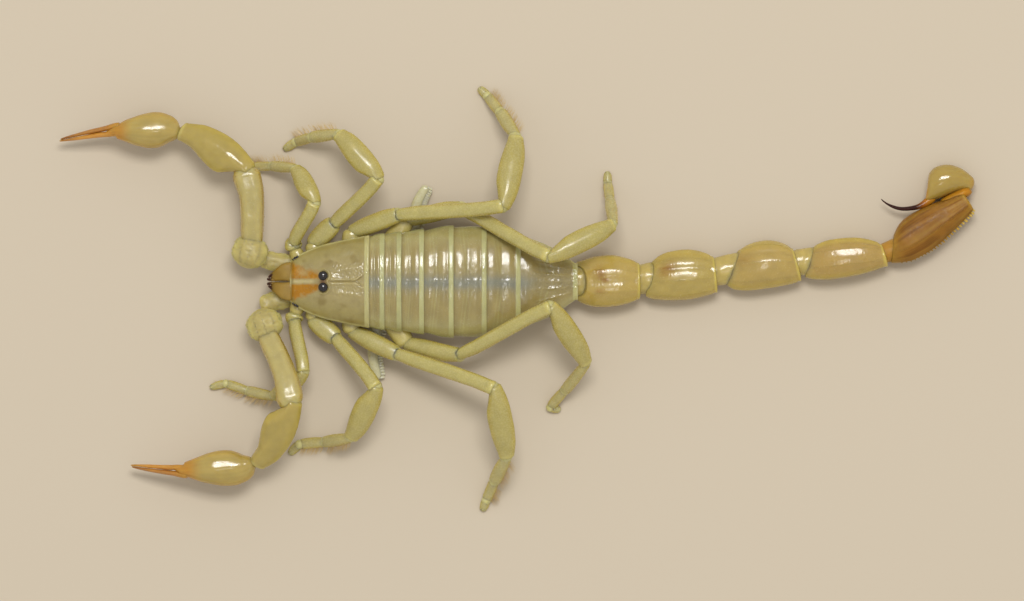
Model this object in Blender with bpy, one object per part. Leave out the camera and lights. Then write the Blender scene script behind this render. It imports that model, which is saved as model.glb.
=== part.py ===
"""A desert scorpion at life size, resting on the floor, for Blender 4.5.

The head looks along -X, the tail along +X, and the animal's right side is +Y.
Sizes are in millimetres and become metres when a mesh is made. While the body
is laid out, X = 0 is the front edge of the head shield, Y = 0 the midline and
Z = 0 the floor; the last step centres the whole animal over the origin.
"""

import math

import bmesh
import bpy
from mathutils import Matrix, Vector

MM = 0.001
GAP = 0.04  # clear distance between neighbouring pieces
UP = Vector((0.0, 0.0, 1.0))
RIGHT, LEFT = 1.0, -1.0

# Driving dimensions.
CARAPACE_LENGTH = 5.94
CARAPACE_RIM = 2.25  # height of the flat underside of the head shield
RIM_THICKNESS = 0.28  # of the head shield along its side edge
BELLY = 0.85  # height of the underside of the trunk
COXA_TOP = 1.5  # height of the leg bases where they reach under the trunk
COXA_END = 9.05  # how far back those leg bases reach
COMB_HEIGHT = 0.5  # height of the middle of each comb, under the leg bases
TERGITE_ENDS = (7.04, 8.34, 10.06, 12.32, 14.84, 17.44, 21.8)
EYE_X, EYE_SPREAD, EYE_RADIUS = 2.56, 0.48, 0.36
TUBERCLE_HEIGHT, TUBERCLE_SPREAD, TUBERCLE_STRETCH = 0.32, 0.75, 1.3
HIP_BEND, ARM_BEND, KNEE_BEND, FOOT_BEND = 0.8, 1.1, 0.7, 0.3  # how far joints are rounded
HAND_WIDTH, HAND_DEPTH = 2.75, 2.4
FINGER_WIDTH, FINGER_DEPTH = 0.38, 0.66
VESICLE_DEPTH = 2.5
FLOOR_DIP = 0.1  # how much a piece that lies on the floor is flattened by it

# Corners of each kind of section: multiples of four, so that a flat is lowest.
BODY_SIDES, TAIL_SIDES, PALP_SIDES, LEG_SIDES = 20, 16, 12, 12
BODY_MIDDLE = 2.3  # height at which the trunk is widest
BODY_FULLNESS, TAIL_FULLNESS, FLAT_FULLNESS = 2.3, 2.5, 4.0  # 2 is an ellipse, more is squarer
SHIELD_FULLNESS = 2.6

# Outline of the trunk: distance back, half width, height of the back.
TRUNK = (
    (0.0, 1.55, 2.95),
    (0.7, 2.06, 3.15),
    (1.67, 2.52, 3.4),
    (3.0, 2.95, 3.75),
    (5.94, 3.54, 4.15),
    (8.3, 3.82, 4.3),
    (10.1, 4.02, 4.4),
    (12.3, 4.29, 4.4),
    (14.8, 4.17, 4.25),
    (17.4, 3.72, 3.85),
    (19.9, 2.7, 3.35),
    (21.8, 1.42, 2.9),
)


def material(name, colour, roughness):
    """A glossy, pale shell material."""
    made = bpy.data.materials.new(name)
    made.use_nodes = True
    shader = made.node_tree.nodes["Principled BSDF"]
    shader.inputs["Base Color"].default_value = (*colour, 1.0)
    shader.inputs["Roughness"].default_value = roughness
    shader.inputs["Metallic"].default_value = 0.0
    return made


SHELL = material("pale_shell", (0.42, 0.36, 0.14), 0.3)
BACK = material("back_plates", (0.34, 0.29, 0.12), 0.3)
LIMB = material("limb_shell", (0.45, 0.41, 0.17), 0.32)
HAND = material("hand_shell", (0.39, 0.28, 0.09), 0.25)
FINGER = material("finger_shell", (0.36, 0.19, 0.06), 0.28)
TAIL_END = material("brown_tail_shell", (0.27, 0.15, 0.04), 0.3)
STING = material("dark_sting", (0.03, 0.01, 0.006), 0.2)
EYE = material("black_eye", (0.01, 0.008, 0.008), 0.08)
COMB = material("comb_shell", (0.55, 0.5, 0.28), 0.4)


def between(rows, x):
    """The values of an outline at x, eased between its rows."""
    for near, far in zip(rows, rows[1:]):
        if x <= far[0] or far is rows[-1]:
            break
    share = min(max((x - near[0]) / (far[0] - near[0]), 0.0), 1.0)
    return [a + (b - a) * share for a, b in zip(near[1:], far[1:])]


def oval(sides, half_width, up, down, power=2.0):
    """Offsets (sideways, upwards) round a rounded section with a flat foot facet."""
    points = []
    for index in range(sides):
        angle = 2 * math.pi * (index + 0.5) / sides
        across, rise = math.cos(angle), math.sin(angle)
        side = half_width * math.copysign(abs(across) ** (2 / power), across)
        height = (up if rise > 0 else down) * math.copysign(abs(rise) ** (2 / power), rise)
        points.append((side, height))
    return points


def ring(centre, forward, offsets, roll=0.0):
    """Section points in the plane square to forward, kept above the floor."""
    forward = forward.normalized()
    side = forward.cross(UP).normalized()
    turn = Matrix.Rotation(math.radians(roll), 3, forward)
    side, top = turn @ side, turn @ side.cross(forward)
    points = [centre + side * across + top * rise for across, rise in offsets]
    return [Vector((p.x, p.y, max(p.z, 0.0))) for p in points]


def loft(name, rings, shell):
    """A closed body through a row of rings, with a flat cap on each end."""
    mesh = bpy.data.meshes.new(name)
    build = bmesh.new()
    rows = [[build.verts.new(point * MM) for point in points] for points in rings]
    count = len(rows[0])
    for near, far in zip(rows, rows[1:]):
        for index in range(count):
            after = (index + 1) % count
            build.faces.new((near[index], near[after], far[after], far[index]))
    build.faces.new(rows[0])
    build.faces.new(rows[-1])
    bmesh.ops.triangulate(build, faces=build.faces[:])
    bmesh.ops.recalc_face_normals(build, faces=build.faces[:])
    build.to_mesh(mesh)
    build.free()
    mesh.shade_smooth()
    mesh.set_sharp_from_angle(angle=math.radians(50))
    mesh.materials.append(shell)
    piece = bpy.data.objects.new(name, mesh)
    bpy.context.scene.collection.objects.link(piece)
    return piece


def along(heading, run, height, start):
    """The point a run away from start on a compass heading, at a height."""
    turn = math.radians(heading)
    return Vector((start.x + run * math.cos(turn), start.y + run * math.sin(turn), height))


def stretch(start, heading, length, height):
    """The far joint of a segment of known length that ends at a given height."""
    run = math.sqrt(length**2 - (height - start.z) ** 2)
    return along(heading, run, height, start)


def limb_stations(joints, first, last, bend, shares):
    """Centres and directions along joints first..last, with every joint rounded.

    shares gives, for each segment, the fractions of its length that carry a
    section. The end stations lie on the planes that halve the end joints.
    """
    steps = [(b - a).normalized() for a, b in zip(joints, joints[1:])]

    def corner(index):
        if index in (0, len(joints) - 1):
            return joints[index], steps[min(index, len(steps) - 1)]
        before, after = steps[index - 1], steps[index]
        middle = joints[index] + (after - before) * (bend / 4)
        return middle, (before + after).normalized()

    stations = []
    for segment in range(first, last):
        start, end = joints[segment], joints[segment + 1]
        length = (end - start).length
        for share in shares:
            if share in (0.0, 1.0):
                centre, direction = corner(segment + int(share))
                inner = segment + int(share) not in (first, last)
                if inner and share == 1.0:
                    continue
                nudge = 0.0 if inner else GAP / 2 * (1.0 - 2.0 * share)
                stations.append((segment, share, centre + direction * nudge, direction))
            else:
                reach = min(max(share, bend / length), 1.0 - bend / length)
                stations.append((segment, share, start.lerp(end, reach), steps[segment]))
    return stations


def limb(name, joints, first, last, bend, sizes, shares, sides, shell, power=2.0):
    """One piece of a leg or claw arm between two of its joints.

    sizes[segment] is (width, depth); shares is {fraction: (width, depth) share}.
    """
    rings = []
    for segment, share, centre, direction in limb_stations(
        joints, first, last, bend, sorted(shares)
    ):
        width, depth = sizes[segment]
        wide, deep = shares[share]
        offsets = oval(sides, width * wide / 2, depth * deep / 2, depth * deep / 2, power)
        rings.append(ring(centre, direction, offsets))
    return loft(name, rings, shell)


# --- Head and trunk -------------------------------------------------------


def shield_height(x, y):
    """Height of the head shield's upper surface, with the eye tubercle on it."""
    half, crown = between(TRUNK, x)
    edge = CARAPACE_RIM + RIM_THICKNESS
    arch = math.sqrt(max(1.0 - abs(y / half) ** SHIELD_FULLNESS, 0.0))
    from_eyes = math.hypot((x - EYE_X) / TUBERCLE_STRETCH, y)
    bump = TUBERCLE_HEIGHT * math.exp(-((from_eyes / TUBERCLE_SPREAD) ** 2))
    return edge + (crown - edge) * arch + bump


def carapace():
    """The head shield: an arched plate with a flat underside and two eye sockets."""
    steps, across = 13, 12
    rings = []
    for step in range(steps):
        x = CARAPACE_LENGTH * step / (steps - 1)
        half = between(TRUNK, x)[0]
        points = [Vector((x, half, CARAPACE_RIM)), Vector((x, -half, CARAPACE_RIM))]
        for index in range(across + 1):
            y = -half * math.cos(math.pi * index / across)
            points.append(Vector((x, y, shield_height(x, y))))
        rings.append(points)
    shield = loft("carapace", rings, BACK)
    for side, word in ((RIGHT, "right"), (LEFT, "left")):
        socket = eye_ball(f"socket_{word}", side, EYE_RADIUS + GAP)
        socket.display_type = "WIRE"
        socket.hide_render = True
        cut = shield.modifiers.new(f"socket_{word}", "BOOLEAN")
        cut.operation = "DIFFERENCE"
        cut.object = socket
        eye_ball(f"eye_median_{word}", side, EYE_RADIUS)
    return shield


def eye_ball(name, side, radius):
    """A round eye, half sunk in the side of the tubercle."""
    mesh = bpy.data.meshes.new(name)
    build = bmesh.new()
    bmesh.ops.create_uvsphere(build, u_segments=10, v_segments=6, radius=radius * MM)
    height = shield_height(EYE_X, EYE_SPREAD)
    bmesh.ops.translate(build, vec=Vector((EYE_X, side * EYE_SPREAD, height)) * MM, verts=build.verts)
    build.to_mesh(mesh)
    build.free()
    mesh.shade_smooth()
    mesh.materials.append(EYE)
    ball = bpy.data.objects.new(name, mesh)
    bpy.context.scene.collection.objects.link(ball)
    return ball


def trunk_ring(x, swell, floor):
    """One section of the trunk, arched above its side edge and flatter below."""
    half, crown = between(TRUNK, x)
    rise, drop = (crown - BODY_MIDDLE) * swell, BODY_MIDDLE - floor
    offsets = oval(BODY_SIDES, half * swell, rise, drop, BODY_FULLNESS)
    return ring(Vector((x, 0.0, BODY_MIDDLE)), Vector((1.0, 0.0, 0.0)), offsets)


def trunk_segments():
    """Seven rings of the trunk, each a little fuller behind its front edge."""
    starts = (CARAPACE_LENGTH + GAP, *TERGITE_ENDS)
    for number, (start, end) in enumerate(zip(starts, TERGITE_ENDS), start=1):
        length = end - start
        places = [(start, 0.97), (start + 0.3 * length, 0.995), (start + 0.7 * length, 1.0)]
        places.append((end - GAP, 1.0))
        if start < COXA_END < end:
            places += [(COXA_END + GAP, 0.997), (COXA_END + 2 * GAP, 0.997)]
        rings = []
        for x, swell in sorted(places):
            over_coxae = x < COXA_END + 1.5 * GAP
            rings.append(trunk_ring(x, swell, COXA_TOP + GAP if over_coxae else BELLY))
        loft(f"mesosoma_{number}", rings, BACK)


def underside():
    """The bases of the legs with the breast plate between them, as one low body."""
    rows = (
        (0.25, 1.45, CARAPACE_RIM - GAP, 1.1),
        (1.2, 1.9, CARAPACE_RIM - GAP, 0.95),
        (2.6, 2.45, CARAPACE_RIM - GAP, BELLY),
        (4.2, 3.0, CARAPACE_RIM - GAP, BELLY),
        (CARAPACE_LENGTH - GAP, 3.3, CARAPACE_RIM - GAP, BELLY),
        (CARAPACE_LENGTH - GAP / 2, 3.3, COXA_TOP, BELLY),
        (7.4, 3.5, COXA_TOP, BELLY),
        (COXA_END, 3.6, COXA_TOP, BELLY),
    )
    rings = []
    for x, half, top, bottom in rows:
        middle, rise = (top + bottom) / 2, (top - bottom) / 2
        offsets = oval(BODY_SIDES, half, rise, rise, FLAT_FULLNESS)
        rings.append(ring(Vector((x, 0.0, middle)), Vector((1.0, 0.0, 0.0)), offsets))
    loft("coxosternum", rings, LIMB)


def chelicera(side, word):
    """One of the two short jaws in front of the head shield."""
    rows = (  # distance ahead, inner edge, outer edge, underside, top
        (GAP, 0.03, 1.5, 1.92, 2.58),
        (0.25, 0.03, 1.43, 1.9, 2.62),
        (0.65, 0.03, 1.17, 1.9, 2.6),
        (1.05, 0.03, 0.85, 1.92, 2.52),
        (1.4, 0.04, 0.56, 1.96, 2.4),
        (1.75, 0.06, 0.28, 2.02, 2.28),
    )
    rings = []
    for ahead, inner, outer, bottom, top in rows:
        centre = Vector((-ahead, side * (inner + outer) / 2, (bottom + top) / 2))
        offsets = oval(LEG_SIDES, (outer - inner) / 2, (top - bottom) / 2, (top - bottom) / 2, 3.0)
        rings.append(ring(centre, Vector((-1.0, 0.0, 0.0)), offsets))
    loft(f"chelicera_{word}", rings, HAND)


# Each comb: its root, two bends and tip, seen from above.
COMBS = {
    "right": ((7.8, 0.7), (9.3, 3.6), (9.7, 5.9), (10.45, 7.35)),
    "left": ((7.6, -0.7), (6.6, -3.6), (6.35, -5.6), (6.75, -7.5)),
}
COMB_SIZES = ((1.15, 0.5), (1.1, 0.5), (1.05, 0.5))
COMB_TAPER = {0.0: (0.8, 0.9), 0.5: (1.0, 1.0), 1.0: (0.7, 0.9)}


def pecten(word):
    """One comb of the underside, a thin blade from the midline to beyond the legs."""
    joints = [Vector((x, y, COMB_HEIGHT)) for x, y in COMBS[word]]
    limb(f"pecten_{word}", joints, 0, 3, HIP_BEND, COMB_SIZES, COMB_TAPER, LEG_SIDES, COMB, 3.0)


# --- Tail -----------------------------------------------------------------


# Plan of each ring: right edge and left edge of its sections, from front to back. The
# first is the soft joint, a gap behind the ring before; the shell starts at the second.
RING_PLANS = (
    (((21.86, -1.05), (21.86, 1.05)), ((21.95, -1.4), (21.95, 1.5)), ((22.5, -1.72), (22.4, 1.62)),
     ((23.1, -1.92), (23.05, 1.85)), ((24.25, -1.97), (24.25, 2.03)), ((25.4, -1.8), (25.4, 1.9)),
     ((26.3, -1.52), (26.3, 1.6)), ((26.9, -1.2), (26.85, 1.25))),
    (((26.96, -0.95), (26.92, 1.0)), ((27.15, -1.1), (27.6, 1.45)), ((27.7, -1.3), (28.1, 1.85)),
     ((28.45, -1.4), (28.7, 2.17)), ((29.6, -1.44), (29.7, 2.42)), ((30.9, -1.3), (30.75, 2.42)),
     ((31.95, -1.02), (31.7, 2.22)), ((32.8, -0.75), (32.55, 1.75))),
    (((32.86, -0.45), (32.64, 1.5)), ((33.2, -0.1), (34.2, 2.3)), ((34.05, -0.6), (35.1, 2.83)),
     ((35.35, -0.65), (36.05, 3.1)), ((36.55, -0.5), (36.8, 3.13)), ((37.7, -0.3), (37.55, 2.98)),
     ((38.65, -0.08), (38.15, 2.7)), ((39.25, 0.15), (38.6, 2.35))),
    (((39.31, 0.45), (38.86, 2.12)), ((39.42, 0.4), (39.85, 2.45)), ((39.95, 0.2), (40.25, 2.8)),
     ((40.85, 0.15), (41.0, 3.13)), ((42.3, 0.27), (42.4, 3.37)), ((43.75, 0.55), (43.7, 3.33)),
     ((44.95, 0.92), (44.65, 3.12)), ((45.85, 1.25), (45.4, 2.7))),
    (((45.93, 1.52), (45.56, 2.75)), ((45.98, 1.45), (46.2, 3.5)), ((46.8, 1.45), (46.45, 4.13)),
     ((47.8, 1.75), (46.85, 4.65)), ((49.2, 2.55), (47.85, 5.35)), ((50.5, 3.68), (49.1, 5.95)),
     ((51.6, 4.75), (50.35, 6.42)), ((52.35, 5.55), (51.45, 6.9))),
)
RING_HEIGHTS = (3.3, 3.2, 3.15, 3.1, 2.72)
RING_TALL = (0.55, 0.62, 0.8, 0.94, 1.0, 0.98, 0.86, 0.68)  # share of the height


def plan_rings(plan, middles, deeps, sides, power):
    """Sections that span pairs of points of the floor plan: right edge, left edge."""
    rings = []
    for (right, left), middle, deep in zip(plan, middles, deeps):
        right, left = Vector((*right, middle)), Vector((*left, middle))
        across = right - left
        offsets = oval(sides, across.length / 2, deep, deep, power)
        rings.append(ring((right + left) / 2, UP.cross(across), offsets))
    return rings


def tail():
    """Five tail rings lying on the floor, the last bent up to one side."""
    for index, (plan, height) in enumerate(zip(RING_PLANS, RING_HEIGHTS)):
        middle = height / 2 - FLOOR_DIP
        deeps = [height * tall / 2 for tall in RING_TALL]
        rings = plan_rings(plan, [middle] * len(plan), deeps, TAIL_SIDES, TAIL_FULLNESS)
        loft(f"metasoma_{index + 1}", rings, TAIL_END if index == 4 else SHELL)


# Plan of the poison bulb and of its spine: right edge and left edge, from the joint
# with the fifth ring; then the bulb's share of its depth and the spine's height.
BULB_PLAN = (
    ((52.5, 7.7), (52.15, 6.92)), ((52.0, 8.2), (51.7, 7.0)), ((51.35, 8.68), (51.1, 6.95)),
    ((50.5, 8.95), (50.4, 6.68)), ((49.65, 8.87), (49.7, 6.38)), ((49.1, 8.55), (49.1, 6.18)),
    ((48.83, 8.05), (48.78, 6.06)), ((48.72, 7.1), (48.5, 6.0)),
)
BULB_TALL = (0.42, 0.65, 0.86, 0.98, 1.0, 0.9, 0.72, 0.42)
SPINE_PLAN = (
    ((48.62, 6.6), (48.43, 5.98)), ((48.05, 5.95), (48.1, 5.53)), ((47.45, 5.77), (47.5, 5.43)),
    ((46.8, 5.71), (46.8, 5.42)), ((46.3, 5.8), (46.22, 5.56)), ((45.75, 6.0), (45.69, 5.85)),
    ((45.25, 6.35), (45.2, 6.27)),
)
SPINE_MIDDLES = (1.35, 1.65, 1.6, 1.5, 1.4, 1.3, 1.15)


def sting():
    """The poison bulb, folded back beside the fifth ring, and its curved spine."""
    middle = VESICLE_DEPTH / 2 - FLOOR_DIP
    deeps = [VESICLE_DEPTH * tall / 2 for tall in BULB_TALL]
    bulb = plan_rings(BULB_PLAN, [middle] * len(BULB_PLAN), deeps, TAIL_SIDES, 2.1)
    loft("vesicle", bulb, TAIL_END)
    halves = [math.dist(right, left) / 2 for right, left in SPINE_PLAN]
    loft("aculeus", plan_rings(SPINE_PLAN, SPINE_MIDDLES, halves, LEG_SIDES, 2.0), STING)


# --- Claw arms ------------------------------------------------------------

# Joints of each arm: base, hip, shoulder, elbow, wrist, knuckle, finger tip.
ARMS = {
    "right": (
        (-0.2, 1.75, 1.35), (-2.6, 1.6, 2.0), (-2.85, 2.8, 2.6), (-3.1, 8.5, 3.6),
        (-8.34, 11.5, 2.7), (-13.4, 11.6, 2.2), (-17.65, 10.8, 1.6),
    ),
    "left": (
        (-0.2, -1.75, 1.35), (-2.2, -2.35, 2.0), (-1.75, -3.85, 2.6), (0.35, -9.2, 4.95),
        (-2.5, -14.05, 2.6), (-8.2, -14.5, 2.1), (-12.2, -14.1, 1.5),
    ),
}
# Width and depth of the two hip pieces, the upper arm and the fore arm.
ARM_SIZES = {
    "right": ((1.5, 1.1), (2.3, 1.9), (1.95, 1.8), (2.7, 2.1)),
    "left": ((1.5, 1.1), (2.3, 1.9), (1.9, 1.8), (2.5, 2.1)),
}
ARM_HIP = {0.0: (0.76, 0.8), 0.5: (1.0, 1.0), 1.0: (0.84, 0.84)}
UPPER_ARM = {0.0: (0.72, 0.78), 0.3: (0.96, 1.0), 0.7: (1.0, 1.0), 1.0: (0.78, 0.8)}
FORE_ARM = {
    0.0: (0.62, 0.64), 0.22: (0.88, 0.9), 0.4: (1.0, 1.0),
    0.6: (1.0, 1.0), 0.8: (0.82, 0.86), 1.0: (0.5, 0.54),
}
HAND_SWELL = {0.0: 0.44, 0.2: 0.88, 0.33: 0.99, 0.48: 1.0, 0.63: 0.86, 0.8: 0.58, 1.0: 0.33}
FINGER_TAPER = {0.12: 1.0, 0.5: 0.85, 0.85: 0.65, 1.0: 0.4}


def claw_arm(side, word):
    """Hip piece, upper arm, fore arm and hand, with the outer finger apart."""
    joints = [Vector(joint) for joint in ARMS[word]]
    sizes, arm = ARM_SIZES[word], f"palp_{word}"
    limb(f"{arm}_trochanter", joints, 0, 2, HIP_BEND, sizes, ARM_HIP, PALP_SIDES, LIMB, 2.2)
    limb(f"{arm}_femur", joints, 2, 3, ARM_BEND, sizes, UPPER_ARM, PALP_SIDES, LIMB, 2.4)
    limb(f"{arm}_patella", joints, 3, 4, ARM_BEND, sizes, FORE_ARM, PALP_SIDES, HAND, 2.2)

    knuckle, tip = joints[5], joints[6]
    reach = tip - knuckle
    outward = side * Vector((0.0, 1.0, 0.0))
    hand = []
    for _, share, centre, direction in limb_stations(joints, 4, 5, ARM_BEND, sorted(HAND_SWELL)):
        wide, deep = HAND_WIDTH * HAND_SWELL[share] / 2, HAND_DEPTH * HAND_SWELL[share] / 2
        hand.append(ring(centre, direction, oval(PALP_SIDES, wide, deep, deep)))
    finger = []
    for share, size in FINGER_TAPER.items():
        hand.append(finger_ring(knuckle + reach * share, reach, -outward, size))
        finger.append(finger_ring(knuckle + reach * share, reach, outward, size))
    loft(f"{arm}_hand", hand, HAND)
    loft(f"{arm}_movable_finger", finger, FINGER)


def finger_ring(centre, reach, outward, size):
    """A section of one finger, just to one side of the line where the two meet."""
    half, deep = FINGER_WIDTH * size / 2, FINGER_DEPTH * size / 2
    return ring(centre + outward * (half + GAP / 2), reach, oval(PALP_SIDES, half, deep, deep, 2.2))


# --- Legs -----------------------------------------------------------------

# For each pair: hip position, and the length of the hip piece, thigh, knee
# piece, shin and the two foot pieces; then the (width, depth) of each.
LEG_PAIRS = {
    1: ((0.4, 2.4, 1.55), (0.75, 4.1, 3.45, 2.4, 1.8, 1.3)),
    2: ((1.7, 2.85, 1.55), (2.4, 5.4, 4.85, 2.75, 2.0, 1.15)),
    3: ((4.7, 3.8, 1.5), (4.0, 8.4, 5.8, 2.85, 2.05, 0.95)),
    4: ((8.8, 4.7, 1.6), (4.5, 8.5, 5.8, 3.5, 2.05, 0.95)),
}
LEG_SIZES = {
    1: ((1.1, 1.1), (1.03, 1.25), (1.4, 1.35), (0.85, 0.85), (0.74, 0.64), (0.66, 0.54)),
    2: ((1.25, 1.2), (1.1, 1.45), (1.75, 1.55), (0.96, 0.95), (0.82, 0.68), (0.74, 0.56)),
    3: ((1.3, 1.2), (1.1, 1.45), (1.83, 1.65), (1.04, 1.0), (0.84, 0.7), (0.74, 0.56)),
    4: ((1.25, 1.2), (1.08, 1.56), (1.66, 1.76), (0.9, 1.0), (0.78, 0.68), (0.68, 0.56)),
}
# The stance: compass heading and far-end height of each of the six lengths.
STANCE = {
    "1_right": ((108, 57, 120, 175, 182, 183), (1.75, 4.05, 2.7, 1.15, 0.27, 0.15)),
    "1_left": ((-102, -76, -140, 168, 160, 196), (1.75, 3.15, 1.6, 0.5, 0.27, 0.15)),
    "2_right": ((44, 43, 132, 188, 195, 212), (2.0, 4.45, 3.6, 1.8, 0.27, 0.15)),
    "2_left": ((-39, -49, -117, -171, -176, -133), (2.0, 4.4, 2.5, 0.7, 0.27, 0.15)),
    "3_right": ((21, 3, 80, 123, 128, 135), (2.55, 4.9, 3.3, 1.55, 0.27, 0.15)),
    "3_left": ((-27, -18, -80, -117, -113, -110), (2.4, 5.4, 3.5, 1.55, 0.27, 0.15)),
    "4_right": ((12, -31, 27, 99, 97, 91), (2.2, 5.95, 4.8, 1.8, 0.27, 0.15)),
    "4_left": ((-14, 30, -58, -129, -132, -8), (2.9, 5.8, 3.45, 1.2, 0.27, 0.15)),
}


THIGH = {0.0: (0.72, 0.78), 0.35: (0.98, 1.0), 0.75: (1.0, 1.0), 1.0: (0.8, 0.78)}
KNEE = {0.0: (0.66, 0.66), 0.25: (0.95, 0.97), 0.6: (1.0, 1.0), 1.0: (0.55, 0.6)}
FOOT = {0.0: (0.92, 0.95), 0.4: (1.0, 1.0), 1.0: (0.75, 0.75)}


def leg(key):
    """One walking leg as three pieces: thigh with hip, knee piece, and foot."""
    pair, word = int(key[0]), key[2:]
    side = RIGHT if word == "right" else LEFT
    (x, y, z), lengths = LEG_PAIRS[pair]
    headings, heights = STANCE[key]
    joints = [Vector((x, side * y, z))]
    for heading, length, height in zip(headings, lengths, heights):
        joints.append(stretch(joints[-1], heading, length, height))
    sizes = LEG_SIZES[pair]
    name = f"leg_{key}"
    limb(f"{name}_femur", joints, 0, 2, KNEE_BEND, sizes, THIGH, LEG_SIDES, LIMB)
    limb(f"{name}_patella", joints, 2, 3, KNEE_BEND, sizes, KNEE, LEG_SIDES, LIMB)
    limb(f"{name}_foot", joints, 3, 6, FOOT_BEND, sizes, FOOT, LEG_SIDES, LIMB)


# --- Assembly -------------------------------------------------------------


def rest_on_origin():
    """Centre the whole animal over the origin, its feet on Z = 0."""
    pieces = [item for item in bpy.data.objects if item.type == "MESH"]
    corners = [item.matrix_world @ v.co for item in pieces for v in item.data.vertices]
    low = Vector([min(c[axis] for c in corners) for axis in range(3)])
    high = Vector([max(c[axis] for c in corners) for axis in range(3)])
    stance = bpy.data.objects.new("stance", None)
    bpy.context.scene.collection.objects.link(stance)
    stance.location = (-(low.x + high.x) / 2, -(low.y + high.y) / 2, -low.z)
    for item in pieces:
        item.parent = stance


def build():
    for item in list(bpy.data.objects):
        bpy.data.objects.remove(item, do_unlink=True)
    carapace()
    trunk_segments()
    underside()
    tail()
    sting()
    for side, word in ((RIGHT, "right"), (LEFT, "left")):
        chelicera(side, word)
        pecten(word)
        claw_arm(side, word)
    for key in STANCE:
        leg(key)
    rest_on_origin()


build()
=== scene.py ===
"""A small desert scorpion at life size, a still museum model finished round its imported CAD.

The head looks along -X, the tail along +X, and the animal's right side is +Y. Shapes are
worked out in millimetres from the middle of the head shield's front edge, at floor level.
"""

import math
import random

import bpy
import numpy as np
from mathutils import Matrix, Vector, noise


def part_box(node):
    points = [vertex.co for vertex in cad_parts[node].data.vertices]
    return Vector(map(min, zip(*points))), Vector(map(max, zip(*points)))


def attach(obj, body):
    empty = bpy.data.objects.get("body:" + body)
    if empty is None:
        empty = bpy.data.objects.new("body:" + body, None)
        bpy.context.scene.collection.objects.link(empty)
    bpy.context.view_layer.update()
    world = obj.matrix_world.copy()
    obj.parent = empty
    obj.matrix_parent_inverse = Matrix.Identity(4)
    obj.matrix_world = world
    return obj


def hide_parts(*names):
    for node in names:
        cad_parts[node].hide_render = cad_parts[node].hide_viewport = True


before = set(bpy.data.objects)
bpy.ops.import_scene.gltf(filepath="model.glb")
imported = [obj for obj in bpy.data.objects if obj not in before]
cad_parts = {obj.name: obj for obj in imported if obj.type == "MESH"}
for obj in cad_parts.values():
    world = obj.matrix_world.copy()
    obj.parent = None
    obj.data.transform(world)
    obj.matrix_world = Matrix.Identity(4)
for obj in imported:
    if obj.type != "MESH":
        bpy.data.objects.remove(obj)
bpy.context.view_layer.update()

# --------------------------------------------------------------------------
# Head shield: one arched plate of tanned chitin over the front of the body,
# moulted whole. Its rim is a pale bead, two patches in front of the eyes are
# stained orange, and a furrow runs back from the eyes.
MM = 0.001
UP = Vector((0.0, 0.0, 1.0))
SIDES = (("right", 1.0), ("left", -1.0))
shield_low, shield_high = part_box("carapace")
FRONT = Vector((shield_low.x, (shield_low.y + shield_high.y) / 2, 0.0))
SHIELD_LENGTH = 6.08
SHIELD_EDGE = 2.45  # height of the shield's side edge
SHELL_THICKNESS = 0.1
PIT_SPACING = 0.11
SMOOTH_UNDER = 55  # degrees: sharper edges than this stay sharp
EYE_X, EYE_SPREAD, EYE_RADIUS = 2.56, 0.44, 0.37
TRUNK = (  # distance back, half width, height of the back
    (0.0, 1.55, 2.95), (0.7, 2.06, 3.15), (1.67, 2.52, 3.4), (3.0, 2.95, 3.75), (5.94, 3.54, 4.15),
    (8.3, 3.82, 4.3), (10.1, 4.02, 4.4), (12.3, 4.29, 4.4), (14.8, 4.17, 4.25),
    (17.4, 3.72, 3.85), (19.9, 2.7, 3.35), (21.8, 1.42, 2.9),
)


def linear(*codes):
    """sRGB hex colours as linear red, green and blue: one alone, or several in a list."""
    made = []
    for code in codes:
        shares = [int(code[start:start + 2], 16) / 255 for start in (1, 3, 5)]
        made.append(Vector([c / 12.92 if c <= 0.04045 else ((c + 0.055) / 1.055) ** 2.4
                            for c in shares]))
    return made[0] if len(made) == 1 else made


def ease(low, high, value):
    """0 below low and 1 above high, with a smooth step between."""
    share = min(max((value - low) / (high - low), 0.0), 1.0)
    return share * share * (3.0 - 2.0 * share)


def fall(low, high, value):
    """1 below low and 0 above high, with a smooth step between."""
    return 1.0 - ease(low, high, value)


def hill(value, centre, width):
    """A smooth hump, 1 at the centre."""
    return math.exp(-(((value - centre) / width) ** 2))


def bent(value, power):
    """A value raised to a power, with its sign kept."""
    return math.copysign(abs(value) ** power, value)


def grain(point, size, seed=0.0):
    """Smooth noise from -1 to 1, with lumps of about the given size in millimetres."""
    return noise.noise(Vector(point) / size + Vector((seed, seed * 0.7, 0.0)))


def spline(rows, x):
    """The values of an outline at x, on a smooth curve through its rows."""
    index = 0
    while index < len(rows) - 2 and rows[index + 1][0] < x:
        index += 1
    a, b = rows[index], rows[index + 1]
    before, after = rows[max(index - 1, 0)], rows[min(index + 2, len(rows) - 1)]
    run = b[0] - a[0]
    t = min(max((x - a[0]) / run, 0.0), 1.0)
    values = []
    for one, two, last, following in zip(a[1:], b[1:], before[1:], after[1:]):
        leave = (two - last) * (run / (b[0] - before[0]))
        arrive = (following - one) * (run / (after[0] - a[0]))
        value = one * (2 * t**3 - 3 * t**2 + 1) + two * (3 * t**2 - 2 * t**3)
        values.append(value + leave * (t**3 - 2 * t**2 + t) + arrive * (t**3 - t**2))
    return values


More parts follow.
